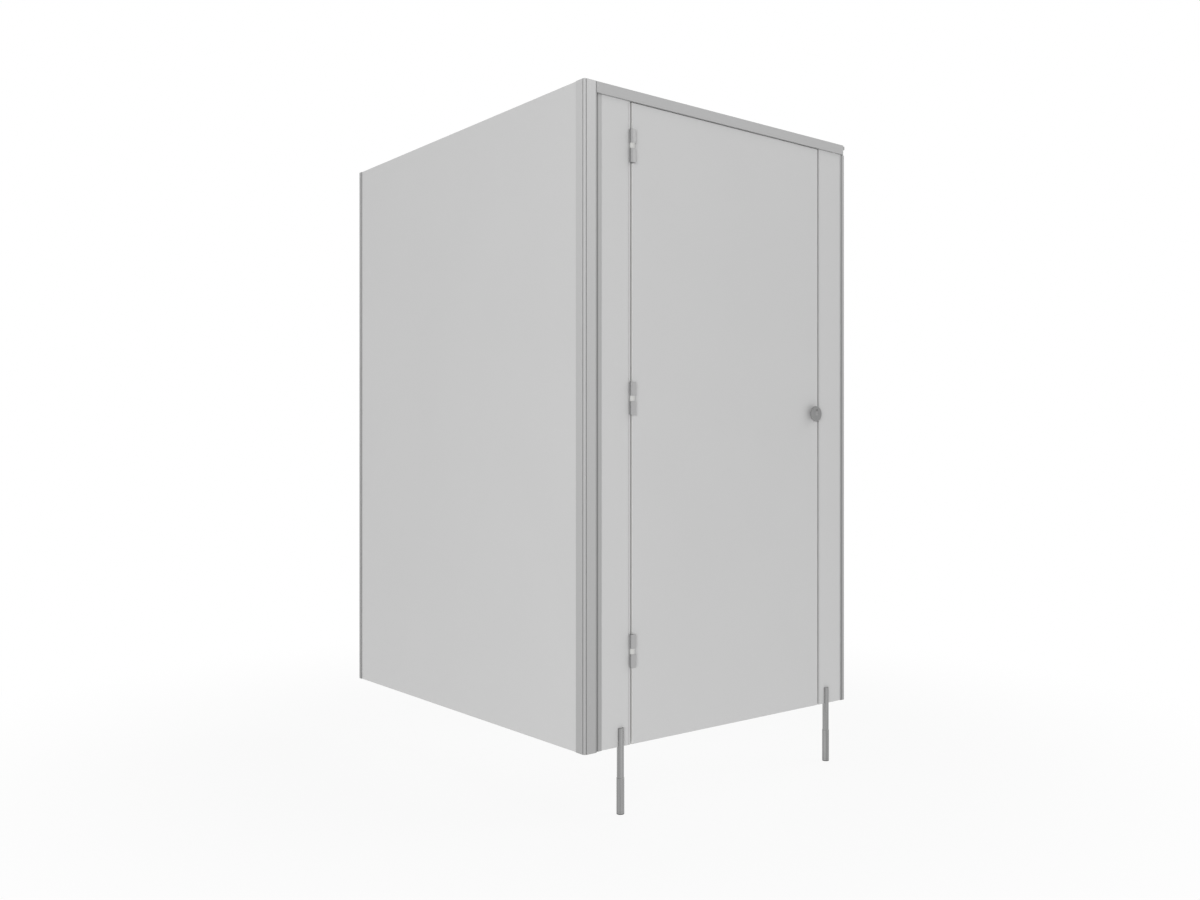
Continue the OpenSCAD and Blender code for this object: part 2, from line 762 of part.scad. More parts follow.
module hinge_side_seal() {
    color("#4A4A4A") placed() translate([left_x1, 0, 0]) difference() {
        translate([0, 0, floor_gap]) linear_extrude(front_h) stop_seal(hinge_lip_reach);
        hinge_notches(0);
    }
}

module lock_side_seal() {
    color("#4A4A4A") placed() translate([right_x0, 0, 0]) mirror([1, 0, 0])
        translate([0, 0, floor_gap]) linear_extrude(front_h) stop_seal(lock_lip_reach);
}

/* Screws of the frame */

module post_side_screws() {
    color("#9C9C9C") placed() for (z = side_rows)
        translate([panel_t + slot_fit + post_wall, post_bite_y, z]) facing_minus_x()
            panel_screw(post_wall + slot_fit + screw_bite);
}

module post_channel_screws() {
    color("#9C9C9C") placed() for (z = front_rows)
        translate([post_x1 + web_t, panel_t / 2, z]) facing_minus_x()
            panel_screw(web_t + post_wall + screw_past);
}

module back_channel_screws() {
    color("#9C9C9C") placed() for (z = side_rows)
        translate([panel_t + lip_proud, side_bite_y, z]) facing_minus_x()
            panel_screw(lip_proud + screw_bite);
}

module pilaster_channel_screws() {
    color("#9C9C9C") placed() for (x = [left_bite_x, right_bite_x], z = front_rows)
        translate([x, panel_t + lip_proud, z]) facing_minus_y() panel_screw(lip_proud + screw_bite);
}

module stop_screws() {
    color("#9C9C9C") placed()
        for (x = [left_x1 - stop_screw_x, right_x0 + stop_screw_x], z = stop_zs)
            translate([x, stop_depth, z]) facing_minus_y() panel_screw(stop_wall + screw_bite);
}

module rail_screws() {
    color("#9C9C9C") placed() {
        for (x = rail_screw_x)
            translate([x, rail_y1, rail_screw_z]) facing_minus_y()
                panel_screw(rail_y1 - panel_t + screw_bite);
        for (y = connector_screw_y)
            translate([post_x1 - post_wall, y, connector_z]) facing_x()
                panel_screw(post_wall + screw_bite);
    }
}

/* Hinges */

// Plan of a door block: knuckle on the pin axis and a block that laps the door's front face
module door_block_plan() {
    x1 = door_x0 + block_lap;
    front_y = axis_y - knuckle_r;
    translate([axis_x, axis_y]) circle(r = knuckle_r);
    polygon([[axis_x, front_y], [axis_x + 1, front_y], [x1, front_y + block_slope],
        [x1, 0], [door_x0, 0], [door_x0, -knuckle_clear], [axis_x, -knuckle_clear]]);
}

module pin_bore(radius) {
    translate([axis_x, axis_y, -hinge_h]) cylinder(r = radius + pin_fit, h = 2 * hinge_h);
}

module hinge_door_leaf(z) {
    plate_x0 = door_tongue_x;
    color("#A6A6A8") placed() translate([0, 0, z]) difference() {
        union() {
            for (z0 = [-hinge_h / 2, sleeve_h / 2]) translate([0, 0, z0]) linear_extrude(block_h) {
                door_block_plan();
                translate([door_tongue_x, -knuckle_clear - cut])
                    square([leaf_t, panel_t + leaf_t + knuckle_clear + cut]);
            }
            translate([plate_x0, panel_t, -hinge_h / 2])
                cube([door_plate_w + door_x0 - plate_x0, leaf_t, hinge_h]);
        }
        pin_bore(pin_r);
        for (dz = [-1, 1])
            translate([door_x0 + door_plate_w / 2, panel_t + leaf_t, dz * hinge_screw_dz])
                facing_minus_y() screw_hole(screw_d, leaf_t);
    }
}

module hinge_frame_leaf(z) {
    tongue_y1 = stop_depth + leaf_t;
    tongue_h = sleeve_h - 2 * sleeve_play;
    color("#A6A6A8") placed() translate([0, 0, z]) difference() {
        union() {
            translate([0, 0, -tongue_h / 2]) linear_extrude(tongue_h) {
                translate([axis_x, axis_y]) circle(r = barrel_r);
                translate([frame_tongue_x, axis_y]) square([leaf_t, tongue_y1 - axis_y]);
            }
            translate([left_x1 - frame_plate_w, stop_depth, -hinge_h / 2])
                cube([frame_tongue_x + leaf_t - left_x1 + frame_plate_w, leaf_t, hinge_h]);
        }
        pin_bore(pin_r);
        for (dz = [-1, 1])
            translate([left_x1 - stop_screw_x, tongue_y1, dz * hinge_screw_dz])
                facing_minus_y() screw_hole(screw_d, leaf_t);
    }
}

// Plastic sleeve round the frame leaf's barrel, cut back to the circle that the door's corner sweeps
module hinge_sleeve(z) {
    h = sleeve_h - 2 * sleeve_play;
    x1 = axis_x + sleeve_reach;
    color("#D2D2D2") placed() translate([0, 0, z - h / 2]) difference() {
        linear_extrude(h) intersection() {
            union() {
                translate([axis_x, axis_y]) circle(r = knuckle_r);
                translate([axis_x, axis_y - knuckle_r]) square([x1 - axis_x, 2 * knuckle_r]);
            }
            translate([axis_x, axis_y]) circle(r = sleeve_reach);
        }
        translate([0, 0, -cut]) linear_extrude(h + 2 * cut) {
            translate([axis_x, axis_y]) circle(r = barrel_r + barrel_fit);
            translate([frame_tongue_x - barrel_fit, axis_y])
                square([leaf_t + 2 * barrel_fit, 2 * knuckle_r]);
        }
    }
}

module hinge_pin(z) {
    color("#8A8A8C") placed() translate([axis_x, axis_y, z - hinge_h / 2 + pin_short])
        cylinder(d = pin_d, h = hinge_h - 2 * pin_short);
}

module hinge_frame_screws() {
    color("#9C9C9C") placed() for (z = hinge_zs, dz = [-1, 1])
        translate([left_x1 - stop_screw_x, stop_depth + leaf_t, z + dz * hinge_screw_dz])
            facing_minus_y() panel_screw(leaf_t + stop_wall + screw_bite);
}

module hinge_door_screws() {
    color("#9C9C9C") placed() for (z = hinge_zs, dz = [-1, 1])
        translate([door_x0 + door_plate_w / 2, panel_t + leaf_t, z + dz * hinge_screw_dz])
            facing_minus_y() panel_screw(leaf_t + screw_bite);
}

/* Lock */

// Puts its children on the lock's axis, with +Z towards the inside and +Y up
module on_lock_axis(y) {
    translate([lock_x, y, lock_z]) rotate([90, 0, 0]) mirror([0, 0, 1]) children();
}

// Half section of one half of the head: its outer edge is rounded at the top
module rim_section(height) {
    flat_r = knob_d / 2 - rim_r;
    square([knob_d / 2, height - rim_r]);
    square([flat_r, height]);
    translate([flat_r, height - rim_r]) intersection() {
        circle(r = rim_r);
        square([rim_r, rim_r]);
    }
}

module knob_neck() {
    color("#8F8F90") placed() on_lock_axis(head_y1) difference() {
        cylinder(d = neck_d, h = neck_l);
        translate([0, 0, -cut]) cylinder(r = spindle_r + spindle_fit, h = neck_l + 2 * cut);
        for (dx = [-1, 1]) translate([dx * lock_screw_r, 0, neck_l - lock_screw_bite - screw_hole_past])
            cylinder(r = lock_screw_d / 2 + screw_fit, h = lock_screw_bite + screw_hole_past + cut);
    }
}

module knob_head() {
    length = head_t - cap_t;
    color("#8F8F90") placed() on_lock_axis(cap_y1) difference() {
        rotate_extrude() rim_section(length);
        translate([0, 0, -cut]) cylinder(r = spindle_r + spindle_fit, h = length + 2 * cut);
    }
}

module knob_cap() {
    cavity_t = disc_t + 2 * disc_play;
    color("#8F8F90") placed() on_lock_axis(knob_y0) difference() {
        rotate_extrude() translate([0, cap_t]) mirror([0, 1]) rim_section(cap_t);
        translate([0, 0, -cut]) cylinder(r = boss_r + spindle_fit, h = cap_t + 2 * cut);
        translate([0, 0, cap_t - cavity_t]) cylinder(r = disc_d / 2 + disc_play, h = cavity_t + cut);
        translate([0, window_r, -cut]) cylinder(d = window_d, h = cap_t + 2 * cut);
    }
}

// Plan of the flag's seat in the indicator disc, a quarter turn before the window
module flag_plan(grow) {
    translate([-window_r, 0]) circle(d = window_d + 2 + 2 * grow);
}

module indicator_disc() {
    color("#7A7A7A") placed() on_lock_axis(disc_y0) linear_extrude(disc_t) difference() {
        circle(d = disc_d);
        circle(r = spindle_r + screw_fit);
        flag_plan(screw_fit);
    }
}

module indicator_flag() {
    color("#A63A32") placed() on_lock_axis(disc_y0) linear_extrude(disc_t) flag_plan(0);
}

module lock_spindle() {
    boss_t = disc_y0 - knob_y0 - disc_play;
    length = turn_y1 - turn_cap_t - knob_y0;
    color("#9A9A9B") placed() on_lock_axis(knob_y0) difference() {
        union() {
            cylinder(r = boss_r, h = boss_t);
            cylinder(r = spindle_r, h = length);
        }
        translate([-boss_d, -slot_t / 2, -cut]) cube([2 * boss_d, slot_t, slot_depth + cut]);
        translate([0, 0, length - screw_bite])
            cylinder(r = lock_screw_d / 2 + screw_fit, h = screw_bite + cut);
    }
}

module lock_rose() {
    color("#9A9A9B") placed() on_lock_axis(panel_t) difference() {
        union() {
            cylinder(d = rose_d, h = rose_t);
            cylinder(r = collar_r, h = collar_y1 - panel_t);
        }
        translate([0, 0, -cut]) cylinder(r = spindle_r + spindle_fit, h = panel_t);
        for (dx = [-1, 1]) translate([dx * lock_screw_r, 0, -cut]) {
            cylinder(r = lock_screw_d / 2 + screw_fit, h = 2 * panel_t);
            translate([0, 0, cut + rose_t]) cylinder(r = lock_pan_r + lock_pan_fit, h = panel_t);
        }
    }
}

module lock_screws() {
    length = rose_y1 + lock_screw_bite;
    color("#9C9C9C") placed() for (dx = [-1, 1])
        translate([lock_x + dx * lock_screw_r, rose_y1, lock_z]) facing_minus_y()
            screw(lock_screw_d, length, lock_pan_r, lock_pan_h);
}

module latch_bar() {
    color("#9A9A9B") placed() on_lock_axis(latch_y0) linear_extrude(latch_t) difference() {
        union() {
            circle(r = collar_r);
            translate([-latch_w / 2, 0]) square([latch_w, latch_len - latch_w / 2]);
            translate([0, latch_len - latch_w / 2]) circle(d = latch_w);
        }
        circle(r = spindle_r + screw_fit);
    }
}

module inside_turn() {
    bore_h = turn_h - turn_cap_t;
    color("#9A9A9B") placed() on_lock_axis(latch_y1) difference() {
        union() {
            cylinder(d = turn_d, h = turn_base_t);
            translate([-turn_blade_t / 2, -turn_d / 2 + turn_blade_inset, 0])
                cube([turn_blade_t, turn_d - 2 * turn_blade_inset, turn_h]);
            cylinder(r = spindle_r + turn_hub_wall, h = turn_h);
        }
        translate([0, 0, -cut]) cylinder(r = spindle_r + screw_fit, h = bore_h + cut);
        cylinder(r = lock_screw_d / 2 + screw_fit, h = turn_h + cut);
    }
}

module spindle_screw() {
    color("#9C9C9C") placed() translate([lock_x, turn_y1, lock_z]) facing_minus_y()
        screw(lock_screw_d, screw_bite, lock_pan_r, lock_pan_h);
}

module latch_keep() {
    z0 = lock_z - keep_tab - keep_margin;
    ledge_z1 = lock_z - latch_w / 2 - keep_gap;
    pad_z1 = lock_z + latch_w / 2 + keep_pad_over;
    color("#A6A6A8") placed() difference() {
        union() {
            translate([keep_x0, keep_y0, z0]) cube([keep_w, keep_base_t, 2 * (keep_tab + keep_margin)]);
            translate([keep_x0, keep_y0, ledge_z1 - keep_ledge_t])
                cube([keep_w, keep_pad_y1 - keep_y0, pad_z1 - ledge_z1 + keep_ledge_t]);
            translate([keep_x0, keep_y0, ledge_z1 - keep_ledge_t])
                cube([keep_w, latch_y1 + keep_ledge_over - keep_y0, keep_ledge_t]);
        }
        for (dz = [-1, 1])
            translate([keep_x0 + keep_w / 2, keep_y0 + keep_base_t, lock_z + dz * keep_tab])
                facing_minus_y() screw_hole(screw_d, keep_base_t);
    }
}

module keep_screws() {
    color("#9C9C9C") placed() for (dz = [-1, 1])
        translate([keep_x0 + keep_w / 2, keep_y0 + keep_base_t, lock_z + dz * keep_tab])
            facing_minus_y() panel_screw(keep_base_t + stop_wall + screw_bite);
}

/* Legs and feet */

module leg(x) {
    color("#A0A0A2") placed() difference() {
        translate([x, leg_axis_y, leg_z0]) cylinder(d = leg_d, h = floor_gap + leg_lap - leg_z0);
        translate([x - leg_d, 0, floor_gap]) cube([2 * leg_d, leg_d, leg_lap + cut]);
        translate([x, leg_axis_y, leg_z0 - cut])
            cylinder(r = foot_spindle_d / 2 + sleeve_fit, h = foot_bore_z1 - leg_z0 + cut);
        for (z = leg_screw_zs)
            translate([x, 0, z]) facing_minus_y() screw_hole(leg_screw_d, leg_screw_bite);
    }
}

module leg_screws() {
    color("#9C9C9C") placed() for (x = leg_xs, z = leg_screw_zs)
        translate([x, panel_t, z]) facing_minus_y()
            screw(leg_screw_d, panel_t + leg_screw_bite, leg_pan_r, leg_pan_h);
}

module foot_spindle(x) {
    color("#A0A0A2") placed() translate([x, leg_axis_y, sole_t]) {
        cylinder(r = foot_r, h = foot_plate_t);
        cylinder(d = foot_spindle_d, h = foot_spindle_z1 - sole_t);
    }
}

module foot_sleeve(x) {
    bore_r = leg_r + sleeve_fit;
    bevel = sleeve_wall / 2;
    color("#A0A0A2") placed() translate([x, leg_axis_y, plate_z1]) rotate_extrude()
        polygon([[bore_r, 0], [foot_r, 0], [foot_r, foot_h - plate_z1 - bevel],
            [foot_r - bevel, foot_h - plate_z1], [bore_r, foot_h - plate_z1]]);
}

module foot_sole(x) {
    color("#3C3C3C") placed() translate([x, leg_axis_y, 0])
        cylinder(r = foot_r - sole_inset, h = sole_t);
}

side_panel();
left_pilaster();
right_pilaster();
door_panel();
corner_post();
post_top_plug();
post_bottom_plug();
back_wall_channel();
left_pilaster_channel();
right_wall_channel();
top_rail();
rail_cover_strip();
rail_post_connector();
rail_wall_connector();
hinge_side_stop();
lock_side_stop();
hinge_side_seal();
lock_side_seal();
post_side_screws();
post_channel_screws();
back_channel_screws();
pilaster_channel_screws();
stop_screws();
rail_screws();
hinge_frame_leaf(hinge_zs[0]);  // hinge_1_frame_leaf
hinge_frame_leaf(hinge_zs[1]);  // hinge_2_frame_leaf
hinge_frame_leaf(hinge_zs[2]);  // hinge_3_frame_leaf
hinge_door_leaf(hinge_zs[0]);  // hinge_1_door_leaf
hinge_door_leaf(hinge_zs[1]);  // hinge_2_door_leaf
hinge_door_leaf(hinge_zs[2]);  // hinge_3_door_leaf
hinge_sleeve(hinge_zs[0]);  // hinge_1_sleeve
hinge_sleeve(hinge_zs[1]);  // hinge_2_sleeve
hinge_sleeve(hinge_zs[2]);  // hinge_3_sleeve
hinge_pin(hinge_zs[0]);  // hinge_1_pin
hinge_pin(hinge_zs[1]);  // hinge_2_pin
hinge_pin(hinge_zs[2]);  // hinge_3_pin
hinge_frame_screws();
hinge_door_screws();
knob_neck();
knob_head();
knob_cap();
indicator_disc();
indicator_flag();
lock_spindle();
lock_rose();
latch_bar();
inside_turn();
spindle_screw();
lock_screws();
latch_keep();
keep_screws();
leg(leg_xs[0]);  // left_leg
leg(leg_xs[1]);  // right_leg
leg_screws();
foot_spindle(leg_xs[0]);  // left_foot_spindle
foot_spindle(leg_xs[1]);  // right_foot_spindle
foot_sleeve(leg_xs[0]);  // left_foot_sleeve
foot_sleeve(leg_xs[1]);  // right_foot_sleeve
foot_sole(leg_xs[0]);  // left_foot_sole
foot_sole(leg_xs[1]);  // right_foot_sole
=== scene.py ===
# Looks of a corner toilet cubicle: laminate panels, anodised profiles, hinges, lock and legs.
import json
import math

import bmesh
import bpy
import numpy as np
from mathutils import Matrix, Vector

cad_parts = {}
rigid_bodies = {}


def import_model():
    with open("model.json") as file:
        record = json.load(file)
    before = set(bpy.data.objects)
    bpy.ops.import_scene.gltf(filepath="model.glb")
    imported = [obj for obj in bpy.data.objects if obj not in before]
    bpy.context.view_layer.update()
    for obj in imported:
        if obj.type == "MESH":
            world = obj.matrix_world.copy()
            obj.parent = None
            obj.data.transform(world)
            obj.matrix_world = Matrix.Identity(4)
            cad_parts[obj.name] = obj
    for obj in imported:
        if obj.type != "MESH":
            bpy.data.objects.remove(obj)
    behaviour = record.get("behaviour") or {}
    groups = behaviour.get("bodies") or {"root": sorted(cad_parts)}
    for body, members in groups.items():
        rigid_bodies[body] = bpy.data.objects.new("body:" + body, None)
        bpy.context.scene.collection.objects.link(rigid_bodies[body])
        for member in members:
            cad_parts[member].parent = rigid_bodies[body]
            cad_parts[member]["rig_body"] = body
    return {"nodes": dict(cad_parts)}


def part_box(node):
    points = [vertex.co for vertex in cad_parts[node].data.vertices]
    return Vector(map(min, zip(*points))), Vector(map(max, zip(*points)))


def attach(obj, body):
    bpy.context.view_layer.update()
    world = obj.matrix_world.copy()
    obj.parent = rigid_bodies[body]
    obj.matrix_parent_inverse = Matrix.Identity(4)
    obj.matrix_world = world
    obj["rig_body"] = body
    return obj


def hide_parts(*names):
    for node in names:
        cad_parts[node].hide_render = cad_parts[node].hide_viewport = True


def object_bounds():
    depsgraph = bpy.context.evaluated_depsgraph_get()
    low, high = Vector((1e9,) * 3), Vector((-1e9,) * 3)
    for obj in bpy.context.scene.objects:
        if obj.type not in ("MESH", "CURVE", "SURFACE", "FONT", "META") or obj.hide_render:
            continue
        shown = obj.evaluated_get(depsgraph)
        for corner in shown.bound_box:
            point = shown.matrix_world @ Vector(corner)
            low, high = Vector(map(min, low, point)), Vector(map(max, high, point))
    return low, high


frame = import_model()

bl_info = {
    "name": "Toilet cubicle",
    "version": (1, 0, 0),
    "blender": (4, 5, 0),
    "location": "View3D > Sidebar > Cubicle",
    "description": "Dresses the packed toilet cubicle and sets its studio stage",
    "category": "Add Mesh",
}

MM = 0.001
CAD_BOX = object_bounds()
X, Y, Z = 0, 1, 2
MERGE_CAD, MERGE_MADE = 2e-6, 1e-6    # metres: doubles nearer than this are merged
NO_LENGTH = 1e-7                      # metres: a shorter edge is taken out
FLUSH = 1e-5                          # metres: a point this near to a plane lies in it
FLAT = math.radians(0.5)              # faces that meet at less than this are joined
SHARP = math.radians(35)              # edges that turn by less are smooth and get no round
PANELS = ("side_panel", "left_pilaster", "right_pilaster", "door_panel")
HINGES = ("hinge_1", "hinge_2", "hinge_3")
SCREW_NODES = tuple(n for n in frame["nodes"] if n.endswith("screws") or n == "spindle_screw")


# ---------------------------------------------------------------- colours and nodes

def linear(hex_colour):
    """sRGB hex to linear RGBA: a channel is divided by 12.92 up to 0.04045, and otherwise
    shifted by 0.055, divided by 1.055 and raised to 2.4."""
    c = np.array([int(hex_colour[i:i + 2], 16) for i in (1, 3, 5)]) / 255
    return (*np.where(c <= 0.04045, c / 12.92, ((c + 0.055) / 1.055) ** 2.4).tolist(), 1.0)


def add(tree, kind, inputs=None, **settings):
    """Adds a node with its settings and links. inputs maps a socket's identifier or name to a
    constant, to an output, or to a node whose first output in use feeds it."""
    made = tree.nodes.new(kind)
    for key, value in settings.items():
        setattr(made, key, value)
    for key, value in (inputs or {}).items():
        into = next((s for s in made.inputs if s.identifier == key), None) or made.inputs[key]
        if isinstance(value, bpy.types.Node):
            value = next(s for s in value.outputs if s.enabled)
        if isinstance(value, bpy.types.NodeSocket):
            tree.links.new(value, into)
        else:
            into.default_value = value
    return made


def start_material(name):
    """An empty material, its tree and the Object coordinates in metres."""
    material = bpy.data.materials.new(name)
    material.use_nodes = True
    material.node_tree.nodes.clear()
    tree = material.node_tree
    return material, tree, add(tree, "ShaderNodeTexCoord").outputs["Object"]


def finish_material(tree, inputs):
    """Adds the shader with its constants and links, and the output."""
    shader = add(tree, "ShaderNodeBsdfPrincipled", inputs)
    add(tree, "ShaderNodeOutputMaterial", {"Surface": shader})


def shade(colour, factor):
    """The same colour, lighter or darker by a factor."""
    return (*[min(1.0, c * factor) for c in colour[:3]], 1.0)


def mix(tree, share, low, high):
    """The low colour where the share is 0, the high one where it is 1, and a mix between."""
    return add(tree, "ShaderNodeMix", {"Factor_Float": share, "A_Color": low, "B_Color": high},
               data_type="RGBA")


def varied_colour(tree, pattern, colour, spread):
    """The colour, darker by the spread where the pattern is 0 and lighter by it where it is 1."""
    return mix(tree, pattern, shade(colour, 1 - spread), shade(colour, 1 + spread))


def varied_value(tree, pattern, middle, spread):
    """The middle value, less the spread where the pattern is 0 and more by it where it is 1."""
    return add(tree, "ShaderNodeMapRange", {
        "Value": pattern, "To Min": middle - spread, "To Max": middle + spread})


# ---------------------------------------------------------------- materials

def compact_laminate(name, colour, core, across, low, high):
    """Compact laminate: resin-soaked paper pressed between fine-textured steel plates, with cut
    and chamfered edges. To the eye an even, slightly pearly satin face and, past a decor layer
    of 0.3 mm, a duller core with the lines of its paper layers."""
    material, tree, place = start_material(name)
    axes = add(tree, "ShaderNodeSeparateXYZ", {"Vector": place})
    off = add(tree, "ShaderNodeMath", {0: axes.outputs[across], 1: (low + high) / 2},
              operation="SUBTRACT")
    away = add(tree, "ShaderNodeMath", {0: off}, operation="ABSOLUTE")
    half, decor, blur = (high - low) / 2, 0.3 * MM, 0.05 * MM
    is_core = add(tree, "ShaderNodeMapRange", {
        "Value": away, "From Min": half - decor - blur, "From Max": half - decor + blur,
        "To Min": 1.0, "To Max": 0.0})
    # cloudiness of the decor, 300 mm across
    cloud = add(tree, "ShaderNodeTexNoise", {"Vector": place, "Scale": 1 / 0.3, "Detail": 2.0})
    face = varied_colour(tree, cloud, colour, 0.015)
    # paper layers are 0.2 mm thick; drawn 0.9 mm thick so that they show
    layers = add(tree, "ShaderNodeTexNoise", {"W": off, "Scale": 1 / (0.9 * MM), "Detail": 1.0},
                 noise_dimensions="1D")
    cut_edge = mix(tree, layers, shade(core, 0.86), shade(core, 1.1))
    tone = mix(tree, is_core, face, cut_edge)
    # the press plate's grain is about 0.4 mm; drawn 1.6 mm wide
    grain = add(tree, "ShaderNodeTexNoise", {
        "Vector": place, "Scale": 1 / (1.6 * MM), "Detail": 3.0})
    # unevenness of the whole face, 450 mm across and 0.4 mm deep
    waves = add(tree, "ShaderNodeTexNoise", {"Vector": place, "Scale": 1 / 0.45, "Detail": 0.0})
    wavy = add(tree, "ShaderNodeBump", {"Height": waves, "Strength": 1.0, "Distance": 0.4 * MM})
    relief = add(tree, "ShaderNodeBump", {
        "Height": grain, "Normal": wavy, "Strength": 0.35, "Distance": 0.03 * MM})
    gloss = varied_value(tree, grain, 0.47, 0.05)
    satin = add(tree, "ShaderNodeMix", {
        "Factor_Float": is_core, "A_Float": gloss, "B_Float": 0.7}, data_type="FLOAT")
    finish_material(tree, {"Base Color": tone, "Roughness": satin, "Normal": relief,
                           "Metallic": 0.0, "IOR": 1.5, "Specular IOR Level": 0.4})
    return material


def drawn_metal(name, colour, along, roughness, line_mm, spread, depth_mm, metal=1.0, painted_groove_shade=None,
                painted_reflection_fade=1.0):
    """Metal with fine straight lines along one axis, from an extrusion die or a belt grinder.
    The lines are line_mm apart and 300 mm long; spread is how far they lighten and darken the
    colour, and depth_mm how deep they are. metal is under 1 for anodised metal, whose milky
    oxide scatters a share of the light as paint does. painted_groove_shade is (corner, radius,
    factor): painted shade, darker by the factor, in the grooves of an outline that is rounded
    about that corner. painted_reflection_fade is how much darker the lower end is painted, a
    painted reflection of a bright top and a darker floor."""
    material, tree, place = start_material(name)
    thin, long = 1 / (line_mm * MM), 1 / 0.3
    stretched = add(tree, "ShaderNodeVectorMath", {
        0: place, 1: [long if i == along else thin for i in range(3)]}, operation="MULTIPLY")
    lines = add(tree, "ShaderNodeTexNoise", {"Vector": stretched, "Scale": 1.0, "Detail": 2.0})
    tone = varied_colour(tree, lines, colour, spread)
    # painted shade: the grooves of the outline are drawn darker, in place of the shade that falls
    # in them
    if painted_groove_shade:
        corner, radius, factor = painted_groove_shade
        shallow, deep = 0.2 * MM, 0.45 * MM    # depths where the shade starts and is full
        # depth below the outline: radius less the distance from the corner, on its outer side only
        off = add(tree, "ShaderNodeVectorMath", {0: place, 1: corner}, operation="SUBTRACT")
        outer = add(tree, "ShaderNodeVectorMath", {0: off, 1: (0.0, 0.0, 0.0)},
                    operation="MINIMUM")
        flat = add(tree, "ShaderNodeVectorMath", {0: outer, 1: (1.0, 1.0, 0.0)},
                   operation="MULTIPLY")
        reach = add(tree, "ShaderNodeVectorMath", {0: flat}, operation="LENGTH")
        darker = add(tree, "ShaderNodeMapRange", {
            "Value": reach.outputs["Value"], "From Min": radius - deep,
            "From Max": radius - shallow, "To Min": factor, "To Max": 1.0})
        tone = add(tree, "ShaderNodeVectorMath", {0: tone, "Scale": darker}, operation="SCALE")
    # painted reflection: the colour darkens from the top down to the lower end, as a bright top and
    # a darker floor reflected in the metal would make it
    if painted_reflection_fade != 1.0:
        height = add(tree, "ShaderNodeSeparateXYZ", {"Vector": place})
        painted_height_gradient = add(tree, "ShaderNodeMapRange", {
            "Value": height.outputs["Z"], "From Min": CAD_BOX[0].z, "From Max": CAD_BOX[1].z,
            "To Min": painted_reflection_fade, "To Max": 1.0})
        tone = add(tree, "ShaderNodeVectorMath", {0: tone, "Scale": painted_height_gradient}, operation="SCALE")
    gloss = varied_value(tree, lines, roughness, 0.05)
    relief = add(tree, "ShaderNodeBump", {
        "Height": lines, "Strength": 0.5, "Distance": depth_mm * MM})
    finish_material(tree, {"Base Color": tone, "Roughness": gloss, "Normal": relief,
                           "Metallic": metal})
    return material


def turned_steel(name, colour, roughness, centre):
    """Stainless steel turned on a lathe and polished with a fine belt: satin, with faint rings
    round the axis, which runs along Y through centre. The rings are 0.2 mm apart in the real
    one and drawn 0.8 mm apart."""
    material, tree, place = start_material(name)
    away = add(tree, "ShaderNodeVectorMath", {0: place, 1: centre}, operation="SUBTRACT")
    across = add(tree, "ShaderNodeVectorMath", {0: away, 1: (1.0, 0.0, 1.0)}, operation="MULTIPLY")
    radius = add(tree, "ShaderNodeVectorMath", {0: across}, operation="LENGTH")
    rings = add(tree, "ShaderNodeTexNoise", {
        "W": radius.outputs["Value"], "Scale": 1 / (0.8 * MM), "Detail": 1.0},
        noise_dimensions="1D")
    tone = varied_colour(tree, rings, colour, 0.07)
    gloss = varied_value(tree, rings, roughness, 0.05)
    relief = add(tree, "ShaderNodeBump", {"Height": rings, "Strength": 0.4, "Distance": 0.02 * MM})
    finish_material(tree, {"Base Color": tone, "Roughness": gloss, "Normal": relief,
                           "Metallic": 1.0})
    return material


def moulded_plastic(name, colour, roughness, grain_mm, mottle, level=0.5):
    """Moulded plastic or rubber: one colour through and through, with the fine spark-eroded grain
    of its mould (grain_mm across) and a slight mottle that is ten times as wide."""
    material, tree, place = start_material(name)
    cloud = add(tree, "ShaderNodeTexNoise", {
        "Vector": place, "Scale": 1 / (10 * grain_mm * MM), "Detail": 2.0})
    tone = varied_colour(tree, cloud, colour, mottle)
    grain = add(tree, "ShaderNodeTexNoise", {
        "Vector": place, "Scale": 1 / (grain_mm * MM), "Detail": 2.0})
    gloss = varied_value(tree, grain, roughness, 0.06)
    relief = add(tree, "ShaderNodeBump", {"Height": grain, "Strength": 0.4, "Distance": 0.02 * MM})
    finish_material(tree, {"Base Color": tone, "Roughness": gloss, "Normal": relief,
                           "Metallic": 0.0, "IOR": 1.5, "Specular IOR Level": level})
    return material


def floor_paint(colour):
    """Matt studio paint, rolled. Where the camera and the reflections see it, most of it is white
    near the object, so that a faint shadow stays, and all of it further off, so that it has no
    edge. For the light that it gives back it is 0.75 white, as a floor with lamps of its own is."""
    material, tree, place = start_material("studio floor paint")
    speckle = add(tree, "ShaderNodeTexNoise", {"Vector": place, "Scale": 1 / 0.05})
    tone = mix(tree, speckle, shade(colour, 0.995), colour)
    paint = add(tree, "ShaderNodeBsdfPrincipled", {
        "Base Color": tone, "Roughness": 0.9, "Specular IOR Level": 0.2})
    away = add(tree, "ShaderNodeVectorMath", {0: place}, operation="LENGTH")
    far = add(tree, "ShaderNodeMapRange", {
        "Value": away.outputs["Value"], "From Min": 0.8, "From Max": 2.6, "To Min": 0.9,
        "To Max": 1.0}, interpolation_type="SMOOTHSTEP")
    share = add(tree, "ShaderNodeMapRange", {
        "Value": seen_directly(tree), "To Min": 0.75, "To Max": far})
    white = add(tree, "ShaderNodeEmission", {"Color": (1, 1, 1, 1), "Strength": 1.0})
    both = add(tree, "ShaderNodeMixShader", {0: share, 1: paint, 2: white})
    add(tree, "ShaderNodeOutputMaterial", {"Surface": both})
    return material


def seen_directly(tree):
    """1 for a ray of the camera, of a reflection or through glass, and 0 for light on a surface."""
    path = add(tree, "ShaderNodeLightPath")
    seen = add(tree, "ShaderNodeMath", {0: path.outputs["Is Camera Ray"],
                                        1: path.outputs["Is Glossy Ray"]}, operation="MAXIMUM")
    return add(tree, "ShaderNodeMath", {0: seen, 1: path.outputs["Is Transmission Ray"]},
               operation="MAXIMUM")


